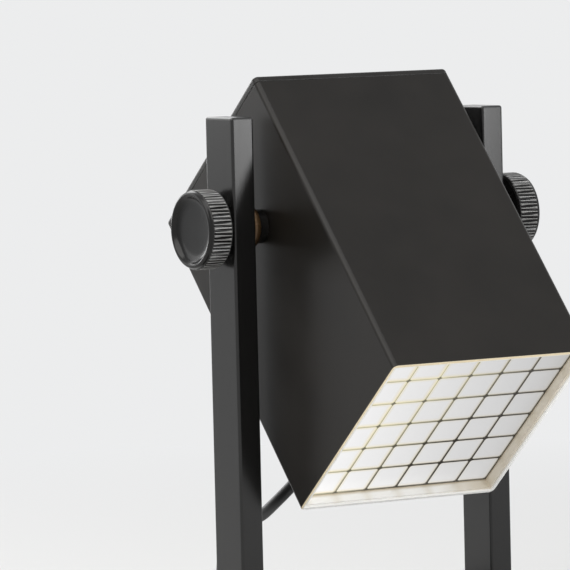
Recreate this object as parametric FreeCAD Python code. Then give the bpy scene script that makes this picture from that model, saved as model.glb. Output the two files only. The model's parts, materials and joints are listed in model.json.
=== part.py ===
import FreeCAD, Part
import math
import os

from FreeCAD import Placement, Rotation, Vector

# Tabletop searchlight lamp: a square-tube lamp head hung between two flat-bar posts.
# Axes: +X runs from the left post to the right post, the lamp shines towards -Y, +Z is up.
# Origin: centre of the base pad's underside.  Lengths in millimetres, angles in degrees.
# The head is drawn level about its own pivot (front = -Y), then tilted and lifted into place.

# ---- fits and clearances -------------------------------------------------------------------
RUNNING_FIT = 0.06          # radial gap of a turning or sliding shaft in its hole
THREAD_FIT = 0.03           # radial gap that stands for an engaged thread
FACE_GAP = 0.05             # gap between faces that rub as they turn
SLIP_GAP = 0.10             # gap of a piece slid into a housing
HOLE_GAP = 0.50             # radial gap of a screw's clearance hole
WIRE_GAP = 3.0              # room left around bodies that pass the ballast

# ---- head casing -----------------------------------------------------------------------------
HEAD_LENGTH = 150.0         # front lip to back of rear cover
HEAD_WIDTH = 95.0
HEAD_HEIGHT = 95.0
CASE_WALL = 1.5
CASE_EDGE_RADIUS = 2.2
REAR_COVER_THICK = 3.0
REAR_COVER_EDGE = 1.2
REAR_SPIGOT_DEPTH = 3.0
REAR_SPIGOT_WALL = 2.0
PIVOT_FROM_REAR = 47.8
PIVOT_FROM_TOP = 38.2
HEAD_TILT = 48.75           # beam below level as stored
VENT_LENGTH = 52.0
VENT_WIDTH = 3.0
VENT_PITCH = 8.0
VENT_COUNT = 5
CORNER_BLOCK_SIDE = 9.0
CORNER_BLOCK_DEPTH = 12.0

# ---- light engine ----------------------------------------------------------------------------
RECESS = 5.0                # front lip to front of the cell grille
LINER_SETBACK = 0.8         # front lip to front edge of the white liner
LINER_WALL = 1.0
LINER_DEPTH = 45.0
LEDGE_WIDTH = 2.0
LEDGE_THICK = 2.0
GRILLE_THICK = 0.3
GRILLE_BAR = 0.9
GRILLE_RIM = 0.6
CELL_RADIUS = 1.1
CELLS = 6
DIFFUSER_THICK = 3.0
BOARD_THICK = 1.6
BOARD_MARGIN = 1.5
LED_SIDE = 3.0
LED_THICK = 0.8
SINK_PLATE = 4.0
FIN_HEIGHT = 12.0
FIN_THICK = 1.6
FIN_PITCH = 7.0
FIN_COUNT = 9
BRACKET_WIDTH = 12.0
BRACKET_REACH = 8.0
BRACKET_THICK = 1.5
BRACKET_LENGTH = 12.0
TERMINAL_LENGTH = 24.0
TERMINAL_WIDTH = 12.0
TERMINAL_HEIGHT = 10.0

# ---- pivot hardware --------------------------------------------------------------------------
SIDE_GAP = 8.5              # casing side to post
STUD_DIAMETER = 6.0
SPACER_DIAMETER = 14.0
FRICTION_WASHER_DIAMETER = 19.0
FRICTION_WASHER_THICK = 3.5
PIVOT_PLATE_SIDE = 34.0
PIVOT_PLATE_THICK = 3.0
PIVOT_HUB_DIAMETER = 12.0
PIVOT_BOSS_DIAMETER = 14.0
PIVOT_BOSS_LENGTH = 6.0

# ---- clamp knobs -----------------------------------------------------------------------------
KNOB_DIAMETER = 32.4        # over the knurl
KNOB_LENGTH = 11.0
KNURL_TEETH = 64
KNURL_DEPTH = 0.55
KNOB_BAND = 1.4             # plain band in front of the knurl
KNOB_LIP_DIAMETER = 29.4    # crest of the raised lip
KNOB_LIP_ROUND = 1.0
DISH_DIAMETER = 24.8
DISH_DEPTH = 1.8
KNOB_NECK_DIAMETER = 17.0
KNOB_NECK_LENGTH = 1.5
KNOB_WASHER_DIAMETER = 20.0
KNOB_WASHER_THICK = 2.0
STUD_IN_KNOB = 8.0

# ---- posts -----------------------------------------------------------------------------------
POST_THICK = 10.5
POST_DEPTH = 20.6
POST_LENGTH = 205.0
POST_BEVEL = 1.1
PIVOT_BELOW_POST_TOP = 45.0
POST_SCREW_DIAMETER = 5.0
POST_SCREW_SPACING = 10.0
POST_SCREW_GRIP = 14.0
POST_SCREW_HEAD_DIAMETER = 8.5
POST_SCREW_HEAD_HEIGHT = 5.0

# ---- base ------------------------------------------------------------------------------------
BASE_WIDTH = 160.0
BASE_DEPTH = 120.0
BASE_HEIGHT = 24.5          # pad top to base top
BASE_WALL = 3.0
BASE_CORNER_RADIUS = 5.0
BASE_TOP_BEVEL = 0.8
PAD_THICK = 1.5
PAD_INSET = 3.0
COVER_THICK = 1.5
BALLAST_THICK = 8.0
BALLAST_GAP = 2.0
BOSS_DIAMETER = 9.0
BOSS_INSET = 9.0            # cavity corner to boss centre
SCREW_DIAMETER = 3.0
SCREW_GRIP = 8.0
SCREW_HEAD_DIAMETER = 5.5
SCREW_HEAD_HEIGHT = 1.2

# ---- push switch -----------------------------------------------------------------------------
SWITCH_FROM_SIDE = 28.0     # right edge of the base to the switch's axis
SWITCH_FROM_FRONT = 22.0
SWITCH_BARREL_DIAMETER = 16.0
SWITCH_BARREL_LENGTH = 15.0
SWITCH_FLANGE_DIAMETER = 20.0
SWITCH_FLANGE_THICK = 1.8
SWITCH_NUT_ACROSS = 20.0
SWITCH_NUT_THICK = 3.0
BUTTON_DIAMETER = 11.6
BUTTON_THICK = 5.0
BUTTON_PROUD = 2.4
BUTTON_TRAVEL = 2.0
BUTTON_STEM_DIAMETER = 4.0
BUTTON_STEM_LENGTH = 5.5
SPRING_DIAMETER = 7.6
SPRING_WIRE = 0.7
SPRING_TURNS = 4
SPRING_STEPS_PER_TURN = 10

# ---- power inlet -----------------------------------------------------------------------------
INLET_FROM_SIDE = 46.0      # right edge of the base to the inlet's axis
INLET_HEIGHT = 11.0         # inlet axis above the tabletop
INLET_BARREL_DIAMETER = 9.0
INLET_FLANGE_DIAMETER = 12.0
INLET_FLANGE_THICK = 1.5
INLET_LENGTH = 17.0
INLET_BORE_DIAMETER = 5.6
INLET_BORE_DEPTH = 9.5
INLET_PIN_DIAMETER = 2.1
INLET_NUT_THICK = 2.5

# ---- driver board ----------------------------------------------------------------------------
DRIVER_X = -8.0
DRIVER_Y = 34.0
DRIVER_LENGTH = 46.0
DRIVER_WIDTH = 24.0
DRIVER_BOARD_THICK = 1.6
DRIVER_STANDOFF = 4.0
DRIVER_STANDOFF_DIAMETER = 6.0
DRIVER_PART_HEIGHT = 4.0
DRIVER_PART_SIDE = 8.0
DRIVER_PART_PITCH = 10.4

# ---- supply lead and its glands ---------------------------------------------------------------
LEAD_DIAMETER = 5.0
BEND_SHARE = 0.45           # part of the shorter run that a bend's arc takes up
GLAND_FLANGE_DIAMETER = 13.0
GLAND_FLANGE_THICK = 2.0
GLAND_NECK_DIAMETER = 9.0
GLAND_LENGTH = 10.0
GLAND_SHANK_DIAMETER = 8.0
GLAND_SHANK_LENGTH = 6.0
GLAND_NUT_DIAMETER = 12.0
GLAND_NUT_THICK = 2.0
GLAND_ROUND = 1.2
HEAD_GLAND_X = 17.5
HEAD_GLAND_Y = -29.2        # in the level head, from the pivot
HEAD_EXIT = 14.5            # lead beyond the head's gland before its first bend point
BASE_GLAND_X = -53.0
BASE_GLAND_Y = 28.0
BASE_EXIT = 8.0

# ---- derived levels --------------------------------------------------------------------------
BASE_BOTTOM_Z = PAD_THICK
BASE_TOP_Z = PAD_THICK + BASE_HEIGHT
CAVITY_TOP_Z = BASE_TOP_Z - BASE_WALL
COVER_TOP_Z = BASE_BOTTOM_Z + COVER_THICK
BALLAST_BOTTOM_Z = CAVITY_TOP_Z - BALLAST_THICK
POST_TOP_Z = BASE_TOP_Z + POST_LENGTH
PIVOT_Z = POST_TOP_Z - PIVOT_BELOW_POST_TOP
POST_INNER_X = HEAD_WIDTH / 2 + SIDE_GAP
POST_OUTER_X = POST_INNER_X + POST_THICK
POST_CENTRE_X = POST_INNER_X + POST_THICK / 2

# Level head, measured from the pivot: front and rear along Y, top and bottom along Z.
HEAD_REAR_Y = PIVOT_FROM_REAR
HEAD_FRONT_Y = PIVOT_FROM_REAR - HEAD_LENGTH
HEAD_TOP_Z = PIVOT_FROM_TOP
HEAD_BOTTOM_Z = PIVOT_FROM_TOP - HEAD_HEIGHT
HEAD_MID_Z = (HEAD_TOP_Z + HEAD_BOTTOM_Z) / 2
TUBE_REAR_Y = HEAD_REAR_Y - REAR_COVER_THICK
INSIDE_WIDTH = HEAD_WIDTH - 2 * CASE_WALL
INSIDE_HEIGHT = HEAD_HEIGHT - 2 * CASE_WALL

LINER_WIDTH = INSIDE_WIDTH - 2 * SLIP_GAP
LINER_HEIGHT = INSIDE_HEIGHT - 2 * SLIP_GAP
LINER_FRONT_Y = HEAD_FRONT_Y + LINER_SETBACK
LINER_REAR_Y = LINER_FRONT_Y + LINER_DEPTH
PANEL_WIDTH = LINER_WIDTH - 2 * LINER_WALL - 2 * SLIP_GAP
PANEL_HEIGHT = LINER_HEIGHT - 2 * LINER_WALL - 2 * SLIP_GAP
GRILLE_FRONT_Y = HEAD_FRONT_Y + RECESS
DIFFUSER_FRONT_Y = GRILLE_FRONT_Y + GRILLE_THICK
LEDGE_FRONT_Y = DIFFUSER_FRONT_Y + DIFFUSER_THICK
BOARD_FRONT_Y = LINER_REAR_Y - BOARD_THICK
SINK_REAR_Y = LINER_REAR_Y + SINK_PLATE
BRACKET_SCREW_INSET = BRACKET_THICK + SCREW_HEAD_DIAMETER / 2 + SLIP_GAP

STUD_RADIUS = STUD_DIAMETER / 2
KNOB_BACK_X = POST_OUTER_X + FACE_GAP + KNOB_WASHER_THICK
KNURL_BACK_X = KNOB_BACK_X + KNOB_NECK_LENGTH
KNOB_FRONT_X = KNURL_BACK_X + KNOB_LENGTH
PIVOT_BOSS_END_X = HEAD_WIDTH / 2 - CASE_WALL - PIVOT_PLATE_THICK - PIVOT_BOSS_LENGTH
STUD_END_X = PIVOT_BOSS_END_X + THREAD_FIT

X_AXIS = Vector(1, 0, 0)
Y_AXIS = Vector(0, 1, 0)
Z_AXIS = Vector(0, 0, 1)


# ---- shape helpers ---------------------------------------------------------------------------
def block(width, depth, height, centre):
    """Box of the given size about its centre point."""
    corner = centre - Vector(width / 2, depth / 2, height / 2)
    return Part.makeBox(width, depth, height, corner)


def rod(diameter, start, end):
    """Round bar between two points."""
    run = end - start
    return Part.makeCylinder(diameter / 2, run.Length, start, run)


def tube(diameter, bore, start, end):
    return rod(diameter, start, end).cut(rod(bore, start, end))


def edges_along(shape, axis):
    """Straight edges of a shape that run parallel to an axis."""
    found = []
    for edge in shape.Edges:
        if edge.Curve.TypeId == "Part::GeomLine" and abs(abs(edge.Curve.Direction.dot(axis)) - 1) < 1e-6:
            found.append(edge)
    return found


def edges_in_plane(shape, axis, position):
    """Edges that lie wholly in the plane at this position along an axis."""
    found = []
    for edge in shape.Edges:
        ends = [vertex.Point.dot(axis) for vertex in edge.Vertexes]
        middle = edge.valueAt((edge.FirstParameter + edge.LastParameter) / 2).dot(axis)
        if all(abs(value - position) < 1e-6 for value in ends + [middle]):
            found.append(edge)
    return found


def hexagon(across, thick, centre):
    """Nut blank standing on centre, axis +Z."""
    corner_radius = across / math.sqrt(3)
    corners = []
    for step in range(7):
        angle = math.radians(60 * step)
        offset = Vector(corner_radius * math.cos(angle), corner_radius * math.sin(angle), 0)
        corners.append(centre + offset)
    return Part.Face(Part.makePolygon(corners)).extrude(Vector(0, 0, thick))


def turned(profile, axis_point, axis):
    """Solid of revolution of a closed outline given as a list of points."""
    face = Part.Face(Part.makePolygon(profile + [profile[0]]))
    return face.revolve(axis_point, axis, 360)


def into_head(shape):
    """Tilt a level head piece about the pivot and lift it to the pivot's height."""
    placed = shape.copy()
    placed.Placement = Placement(Vector(0, 0, PIVOT_Z), Rotation(X_AXIS, HEAD_TILT)) * placed.Placement
    return placed


def head_point(x, y, z):
    """A point of the level head in the lamp's own frame."""
    return Vector(0, 0, PIVOT_Z) + Rotation(X_AXIS, HEAD_TILT).multVec(Vector(x, y, z))


def save(name, shape):
    shape.exportStep("parts/" + name + ".step")
    print(f"{name}: {len(shape.Solids)} solid(s), {shape.Volume / 1000:.2f} cm3, valid {shape.isValid()}")


# ---- base ------------------------------------------------------------------------------------
CAVITY_WIDTH = BASE_WIDTH - 2 * BASE_WALL
CAVITY_DEPTH = BASE_DEPTH - 2 * BASE_WALL
SWITCH_CENTRE = Vector(BASE_WIDTH / 2 - SWITCH_FROM_SIDE, SWITCH_FROM_FRONT - BASE_DEPTH / 2, BASE_TOP_Z)
BASE_GLAND_CENTRE = Vector(BASE_GLAND_X, BASE_GLAND_Y, BASE_TOP_Z)
INLET_CENTRE = Vector(BASE_WIDTH / 2 - INLET_FROM_SIDE, BASE_DEPTH / 2, INLET_HEIGHT)


def boss_centres():
    reach_x = CAVITY_WIDTH / 2 - BOSS_INSET
    reach_y = CAVITY_DEPTH / 2 - BOSS_INSET
    return [Vector(sx * reach_x, sy * reach_y, 0) for sx in (-1, 1) for sy in (-1, 1)]


def post_screw_centres():
    half = POST_SCREW_SPACING / 2
    return [Vector(sx * POST_CENTRE_X, sy * half, 0) for sx in (-1, 1) for sy in (-1, 1)]


def at_height(point, z):
    return Vector(point.x, point.y, z)


def base_housing():
    shell = block(BASE_WIDTH, BASE_DEPTH, BASE_HEIGHT, Vector(0, 0, BASE_BOTTOM_Z + BASE_HEIGHT / 2))
    shell = shell.makeFillet(BASE_CORNER_RADIUS, edges_along(shell, Z_AXIS))
    shell = shell.makeChamfer(BASE_TOP_BEVEL, edges_in_plane(shell, Z_AXIS, BASE_TOP_Z))
    cavity_height = CAVITY_TOP_Z - BASE_BOTTOM_Z
    cavity = block(CAVITY_WIDTH, CAVITY_DEPTH, cavity_height, Vector(0, 0, BASE_BOTTOM_Z + cavity_height / 2))
    cavity = cavity.makeFillet(max(BASE_CORNER_RADIUS - BASE_WALL, BASE_WALL / 2), edges_along(cavity, Z_AXIS))
    shell = shell.cut(cavity)
    for centre in boss_centres():
        boss = rod(BOSS_DIAMETER, at_height(centre, COVER_TOP_Z), at_height(centre, CAVITY_TOP_Z))
        shell = shell.fuse(boss)
    for centre in boss_centres():
        hole = rod(SCREW_DIAMETER + 2 * THREAD_FIT, at_height(centre, COVER_TOP_Z),
                   at_height(centre, COVER_TOP_Z + SCREW_GRIP))
        shell = shell.cut(hole)
    for centre in post_screw_centres():
        hole = rod(POST_SCREW_DIAMETER + 2 * HOLE_GAP, at_height(centre, CAVITY_TOP_Z),
                   at_height(centre, BASE_TOP_Z))
        shell = shell.cut(hole)
    shell = shell.cut(rod(SWITCH_BARREL_DIAMETER + 2 * SLIP_GAP, at_height(SWITCH_CENTRE, CAVITY_TOP_Z),
                          SWITCH_CENTRE))
    shell = shell.cut(rod(GLAND_SHANK_DIAMETER + 2 * SLIP_GAP, at_height(BASE_GLAND_CENTRE, CAVITY_TOP_Z),
                          BASE_GLAND_CENTRE))
    shell = shell.cut(rod(INLET_BARREL_DIAMETER + 2 * SLIP_GAP, INLET_CENTRE - Y_AXIS * BASE_WALL,
                          INLET_CENTRE))
    return shell.removeSplitter()


def ballast_plate():
    """Heavy steel plate under the housing's top, clear of the bosses, switch and lead."""
    width = CAVITY_WIDTH - 2 * BALLAST_GAP
    depth = CAVITY_DEPTH - 2 * BALLAST_GAP
    plate = block(width, depth, BALLAST_THICK, Vector(0, 0, BALLAST_BOTTOM_Z + BALLAST_THICK / 2))
    corner_side = 2 * (BOSS_INSET + BOSS_DIAMETER / 2 + SLIP_GAP)
    for sx in (-1, 1):
        for sy in (-1, 1):
            corner = Vector(sx * CAVITY_WIDTH / 2, sy * CAVITY_DEPTH / 2, BALLAST_BOTTOM_Z + BALLAST_THICK / 2)
            plate = plate.cut(block(corner_side, corner_side, BALLAST_THICK, corner))
    for centre in post_screw_centres():
        plate = plate.cut(rod(POST_SCREW_DIAMETER + 2 * HOLE_GAP, at_height(centre, BALLAST_BOTTOM_Z),
                              at_height(centre, CAVITY_TOP_Z)))
    nut_corner_diameter = 2 * SWITCH_NUT_ACROSS / math.sqrt(3)
    for centre, diameter in ((SWITCH_CENTRE, nut_corner_diameter), (BASE_GLAND_CENTRE, GLAND_NUT_DIAMETER)):
        plate = plate.cut(rod(diameter + WIRE_GAP, at_height(centre, BALLAST_BOTTOM_Z),
                              at_height(centre, CAVITY_TOP_Z)))
    inlet_room = INLET_LENGTH + WIRE_GAP
    inlet_side = 2 * (INLET_FLANGE_DIAMETER / 2 + WIRE_GAP)
    plate = plate.cut(block(inlet_side, inlet_room, BALLAST_THICK,
                            Vector(INLET_CENTRE.x, BASE_DEPTH / 2 - inlet_room / 2,
                                   BALLAST_BOTTOM_Z + BALLAST_THICK / 2)))
    for centre in driver_standoff_centres():
        plate = plate.cut(rod(SCREW_DIAMETER + 2 * THREAD_FIT, at_height(centre, BALLAST_BOTTOM_Z),
                              at_height(centre, BALLAST_BOTTOM_Z + BALLAST_THICK / 2)))
    return plate


def base_cover():
    cover = block(CAVITY_WIDTH - 2 * SLIP_GAP, CAVITY_DEPTH - 2 * SLIP_GAP, COVER_THICK,
                  Vector(0, 0, BASE_BOTTOM_Z + COVER_THICK / 2))
    cover = cover.makeFillet(max(BASE_CORNER_RADIUS - BASE_WALL, BASE_WALL / 2), edges_along(cover, Z_AXIS))
    for centre in boss_centres():
        cover = cover.cut(rod(SCREW_DIAMETER + 2 * HOLE_GAP, at_height(centre, BASE_BOTTOM_Z),
                              at_height(centre, COVER_TOP_Z)))
    return cover


def base_pad():
    """Rubber sheet glued under the cover, open around the cover screws."""
    pad = block(BASE_WIDTH - 2 * PAD_INSET, BASE_DEPTH - 2 * PAD_INSET, PAD_THICK, Vector(0, 0, PAD_THICK / 2))
    pad = pad.makeFillet(BASE_CORNER_RADIUS, edges_along(pad, Z_AXIS))
    for centre in boss_centres():
        pad = pad.cut(rod(SCREW_HEAD_DIAMETER + 2 * HOLE_GAP, at_height(centre, 0), at_height(centre, PAD_THICK)))
    return pad


def cover_screws():
    screws = []
    for centre in boss_centres():
        seat = at_height(centre, BASE_BOTTOM_Z)
        head = rod(SCREW_HEAD_DIAMETER, seat - Z_AXIS * SCREW_HEAD_HEIGHT, seat)
        shank = rod(SCREW_DIAMETER, seat, seat + Z_AXIS * (COVER_THICK + SCREW_GRIP - SCREW_DIAMETER / 2))
        screws.append(head.fuse(shank))
    return Part.makeCompound(screws)


def post_screws():
    """Cap screws that clamp ballast, housing and posts together from below."""
    screws = []
    for centre in post_screw_centres():
        seat = at_height(centre, BALLAST_BOTTOM_Z)
        tip = at_height(centre, BASE_TOP_Z + POST_SCREW_GRIP - POST_SCREW_DIAMETER / 2)
        head = rod(POST_SCREW_HEAD_DIAMETER, seat - Z_AXIS * POST_SCREW_HEAD_HEIGHT, seat)
        screws.append(head.fuse(rod(POST_SCREW_DIAMETER, seat, tip)))
    return Part.makeCompound(screws)


# ---- posts -----------------------------------------------------------------------------------
def post(side):
    """Flat bar on the base, side -1 for left and +1 for right."""
    centre = Vector(side * POST_CENTRE_X, 0, BASE_TOP_Z + POST_LENGTH / 2)
    bar = block(POST_THICK, POST_DEPTH, POST_LENGTH, centre)
    bevelled = edges_along(bar, Z_AXIS) + edges_in_plane(bar, Z_AXIS, POST_TOP_Z)
    bar = bar.makeChamfer(POST_BEVEL, bevelled)
    inner = Vector(side * POST_INNER_X, 0, PIVOT_Z)
    outer = Vector(side * POST_OUTER_X, 0, PIVOT_Z)
    bar = bar.cut(rod(STUD_DIAMETER + 2 * RUNNING_FIT, inner, outer))
    for hole in post_screw_centres():
        if hole.x * side > 0:
            bar = bar.cut(rod(POST_SCREW_DIAMETER + 2 * THREAD_FIT, at_height(hole, BASE_TOP_Z),
                              at_height(hole, BASE_TOP_Z + POST_SCREW_GRIP)))
    return bar


# ---- pivot hardware and knobs ----------------------------------------------------------------
def along_pivot(side, x):
    """Point on the level head's pivot axis, x counted outwards from the lamp's centre."""
    return Vector(side * x, 0, 0)


def pivot_plate(side):
    """Threaded plate inside the casing wall, its hub flush with the wall's outer face."""
    wall_outer = HEAD_WIDTH / 2
    wall_inner = wall_outer - CASE_WALL
    plate_centre = Vector(side * (wall_inner - PIVOT_PLATE_THICK / 2), 0, 0)
    plate = block(PIVOT_PLATE_THICK, PIVOT_PLATE_SIDE, PIVOT_PLATE_SIDE, plate_centre)
    plate = plate.fuse(rod(PIVOT_HUB_DIAMETER, along_pivot(side, wall_inner), along_pivot(side, wall_outer)))
    plate = plate.fuse(rod(PIVOT_BOSS_DIAMETER, along_pivot(side, PIVOT_BOSS_END_X),
                           along_pivot(side, wall_inner - PIVOT_PLATE_THICK)))
    return plate.cut(rod(STUD_DIAMETER + 2 * RUNNING_FIT, along_pivot(side, PIVOT_BOSS_END_X),
                         along_pivot(side, wall_outer)))


def pivot_spacer(side):
    start = along_pivot(side, HEAD_WIDTH / 2)
    end = along_pivot(side, POST_INNER_X - FACE_GAP - FRICTION_WASHER_THICK)
    return tube(SPACER_DIAMETER, STUD_DIAMETER + 2 * RUNNING_FIT, start, end)


def friction_washer(side):
    start = along_pivot(side, POST_INNER_X - FACE_GAP - FRICTION_WASHER_THICK)
    end = along_pivot(side, POST_INNER_X - FACE_GAP)
    return tube(FRICTION_WASHER_DIAMETER, STUD_DIAMETER + 2 * RUNNING_FIT, start, end)


def clamp_stud(side):
    start = Vector(side * STUD_END_X, 0, PIVOT_Z)
    end = Vector(side * (KNURL_BACK_X + STUD_IN_KNOB), 0, PIVOT_Z)
    return rod(STUD_DIAMETER, start, end)


def knob_washer(side):
    start = Vector(side * (POST_OUTER_X + FACE_GAP), 0, PIVOT_Z)
    end = Vector(side * KNOB_BACK_X, 0, PIVOT_Z)
    return tube(KNOB_WASHER_DIAMETER, STUD_DIAMETER + 2 * THREAD_FIT, start, end)


def knurled_band(side):
    """Straight-knurled cylinder as a prism with one pointed tooth per step."""
    outer = KNOB_DIAMETER / 2
    root = outer - KNURL_DEPTH
    corners = []
    for tooth in range(KNURL_TEETH):
        for offset, radius in ((0.0, outer), (0.5, root)):
            angle = 2 * math.pi * (tooth + offset) / KNURL_TEETH
            corners.append(Vector(side * KNURL_BACK_X, radius * math.cos(angle),
                                  PIVOT_Z + radius * math.sin(angle)))
    face = Part.Face(Part.makePolygon(corners + [corners[0]]))
    return face.extrude(Vector(side * (KNOB_LENGTH - KNOB_BAND), 0, 0))


def clamp_knob(side):
    """Knurled knob with a plain band, a raised lip and a dished face."""
    root = KNOB_DIAMETER / 2 - KNURL_DEPTH
    crest = KNOB_LIP_DIAMETER / 2
    dish = DISH_DIAMETER / 2
    outline = [(KNOB_BACK_X, 0), (KNOB_BACK_X, KNOB_NECK_DIAMETER / 2),
               (KNURL_BACK_X, KNOB_NECK_DIAMETER / 2), (KNURL_BACK_X, root),
               (KNOB_FRONT_X - KNOB_LIP_ROUND, root), (KNOB_FRONT_X, crest),
               (KNOB_FRONT_X - DISH_DEPTH, dish), (KNOB_FRONT_X - DISH_DEPTH, 0)]
    profile = [Vector(side * x, 0, PIVOT_Z + radius) for x, radius in outline]
    body = turned(profile, Vector(0, 0, PIVOT_Z), X_AXIS)
    body = body.fuse(knurled_band(side))
    socket_start = Vector(side * KNOB_BACK_X, 0, PIVOT_Z)
    socket_end = Vector(side * (KNURL_BACK_X + STUD_IN_KNOB), 0, PIVOT_Z)
    return body.cut(rod(STUD_DIAMETER + 2 * THREAD_FIT, socket_start, socket_end))


# ---- head, drawn level about the pivot -------------------------------------------------------
def head_centre(y):
    return Vector(0, y, HEAD_MID_Z)


def frame_ring(width, height, wall, y_front, y_rear):
    """Rectangular sleeve between two stations of the head."""
    middle = head_centre((y_front + y_rear) / 2)
    outer = block(width, y_rear - y_front, height, middle)
    inner = block(width - 2 * wall, y_rear - y_front, height - 2 * wall, middle)
    return outer.cut(inner)


def corner_points(y, inset):
    """Four points near the casing's inside corners."""
    reach_x = INSIDE_WIDTH / 2 - inset
    reach_z = INSIDE_HEIGHT / 2 - inset
    return [Vector(sx * reach_x, y, HEAD_MID_Z + sz * reach_z) for sx in (-1, 1) for sz in (-1, 1)]


def head_casing():
    length = TUBE_REAR_Y - HEAD_FRONT_Y
    middle = head_centre((TUBE_REAR_Y + HEAD_FRONT_Y) / 2)
    outer = block(HEAD_WIDTH, length, HEAD_HEIGHT, middle)
    outer = outer.makeFillet(CASE_EDGE_RADIUS, edges_along(outer, Y_AXIS))
    inner = block(INSIDE_WIDTH, length, INSIDE_HEIGHT, middle)
    casing = outer.cut(inner)
    hub_hole = PIVOT_HUB_DIAMETER + 2 * SLIP_GAP
    casing = casing.cut(rod(hub_hole, along_pivot(-1, HEAD_WIDTH), along_pivot(1, HEAD_WIDTH)))
    gland_top = Vector(HEAD_GLAND_X, HEAD_GLAND_Y, HEAD_BOTTOM_Z + CASE_WALL)
    gland_bottom = Vector(HEAD_GLAND_X, HEAD_GLAND_Y, HEAD_BOTTOM_Z)
    return casing.cut(rod(GLAND_SHANK_DIAMETER + 2 * SLIP_GAP, gland_bottom, gland_top))


def rear_cover():
    """Closing plate with a locating spigot, vent slots and four screw holes."""
    plate = block(HEAD_WIDTH, REAR_COVER_THICK, HEAD_HEIGHT, head_centre(HEAD_REAR_Y - REAR_COVER_THICK / 2))
    plate = plate.makeFillet(CASE_EDGE_RADIUS, edges_along(plate, Y_AXIS))
    plate = plate.makeFillet(REAR_COVER_EDGE, edges_in_plane(plate, Y_AXIS, HEAD_REAR_Y))
    spigot_inset = CORNER_BLOCK_SIDE + SLIP_GAP
    spigot = frame_ring(INSIDE_WIDTH - 2 * spigot_inset, INSIDE_HEIGHT - 2 * spigot_inset, REAR_SPIGOT_WALL,
                        TUBE_REAR_Y - REAR_SPIGOT_DEPTH, TUBE_REAR_Y)
    cover = plate.fuse(spigot)
    for row in range(VENT_COUNT):
        z = HEAD_MID_Z + (row - (VENT_COUNT - 1) / 2) * VENT_PITCH
        slot = block(VENT_LENGTH, REAR_COVER_THICK, VENT_WIDTH, Vector(0, HEAD_REAR_Y - REAR_COVER_THICK / 2, z))
        slot = slot.makeFillet(VENT_WIDTH / 2 - SLIP_GAP, edges_along(slot, Y_AXIS))
        cover = cover.cut(slot)
    for hole in corner_points(TUBE_REAR_Y, CORNER_BLOCK_SIDE / 2):
        cover = cover.cut(rod(SCREW_DIAMETER + 2 * HOLE_GAP, hole, hole + Y_AXIS * REAR_COVER_THICK))
    return cover


def corner_blocks():
    """Tapped blocks bonded in the casing's rear corners."""
    blocks = []
    middle_y = TUBE_REAR_Y - CORNER_BLOCK_DEPTH / 2
    for centre in corner_points(middle_y, CORNER_BLOCK_SIDE / 2):
        piece = block(CORNER_BLOCK_SIDE, CORNER_BLOCK_DEPTH, CORNER_BLOCK_SIDE, centre)
        mouth = centre + Y_AXIS * (CORNER_BLOCK_DEPTH / 2)
        blocks.append(piece.cut(rod(SCREW_DIAMETER + 2 * THREAD_FIT, mouth - Y_AXIS * SCREW_GRIP, mouth)))
    return Part.makeCompound(blocks)


def rear_cover_screws():
    screws = []
    for seat in corner_points(HEAD_REAR_Y, CORNER_BLOCK_SIDE / 2):
        head = rod(SCREW_HEAD_DIAMETER, seat, seat + Y_AXIS * SCREW_HEAD_HEIGHT)
        shank_length = REAR_COVER_THICK + SCREW_GRIP - SCREW_DIAMETER / 2
        screws.append(head.fuse(rod(SCREW_DIAMETER, seat - Y_AXIS * shank_length, seat)))
    return Part.makeCompound(screws)


def white_liner():
    """White sleeve from the heat sink to the front lip, with a ledge for the diffuser."""
    sleeve = frame_ring(LINER_WIDTH, LINER_HEIGHT, LINER_WALL, LINER_FRONT_Y, LINER_REAR_Y)
    ledge = frame_ring(LINER_WIDTH - 2 * LINER_WALL, LINER_HEIGHT - 2 * LINER_WALL, LEDGE_WIDTH,
                       LEDGE_FRONT_Y, LEDGE_FRONT_Y + LEDGE_THICK)
    return sleeve.fuse(ledge)


def opal_diffuser():
    middle = head_centre((DIFFUSER_FRONT_Y + LEDGE_FRONT_Y) / 2)
    return block(PANEL_WIDTH, DIFFUSER_THICK, PANEL_HEIGHT, middle)


def cell_grille():
    """Thin cut sheet with square cells whose corners are rounded."""
    middle_y = (GRILLE_FRONT_Y + DIFFUSER_FRONT_Y) / 2
    sheet = block(PANEL_WIDTH, GRILLE_THICK, PANEL_HEIGHT, head_centre(middle_y))
    pitch_x = (PANEL_WIDTH - 2 * GRILLE_RIM + GRILLE_BAR) / CELLS
    pitch_z = (PANEL_HEIGHT - 2 * GRILLE_RIM + GRILLE_BAR) / CELLS
    windows = []
    for column in range(CELLS):
        for row in range(CELLS):
            centre = Vector((column - (CELLS - 1) / 2) * pitch_x, middle_y,
                            HEAD_MID_Z + (row - (CELLS - 1) / 2) * pitch_z)
            window = block(pitch_x - GRILLE_BAR, GRILLE_THICK, pitch_z - GRILLE_BAR, centre)
            windows.append(window.makeFillet(CELL_RADIUS, edges_along(window, Y_AXIS)))
    return sheet.cut(windows)


def led_board():
    width = PANEL_WIDTH - 2 * BOARD_MARGIN
    height = PANEL_HEIGHT - 2 * BOARD_MARGIN
    return block(width, BOARD_THICK, height, head_centre(BOARD_FRONT_Y + BOARD_THICK / 2))


def led_chips():
    """One emitter behind each cell of the grille."""
    chips = []
    for column in range(CELLS):
        for row in range(CELLS):
            x = (column - (CELLS - 1) / 2) * PANEL_WIDTH / CELLS
            z = HEAD_MID_Z + (row - (CELLS - 1) / 2) * PANEL_HEIGHT / CELLS
            chips.append(block(LED_SIDE, LED_THICK, LED_SIDE, Vector(x, BOARD_FRONT_Y - LED_THICK / 2, z)))
    return Part.makeCompound(chips)


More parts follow.
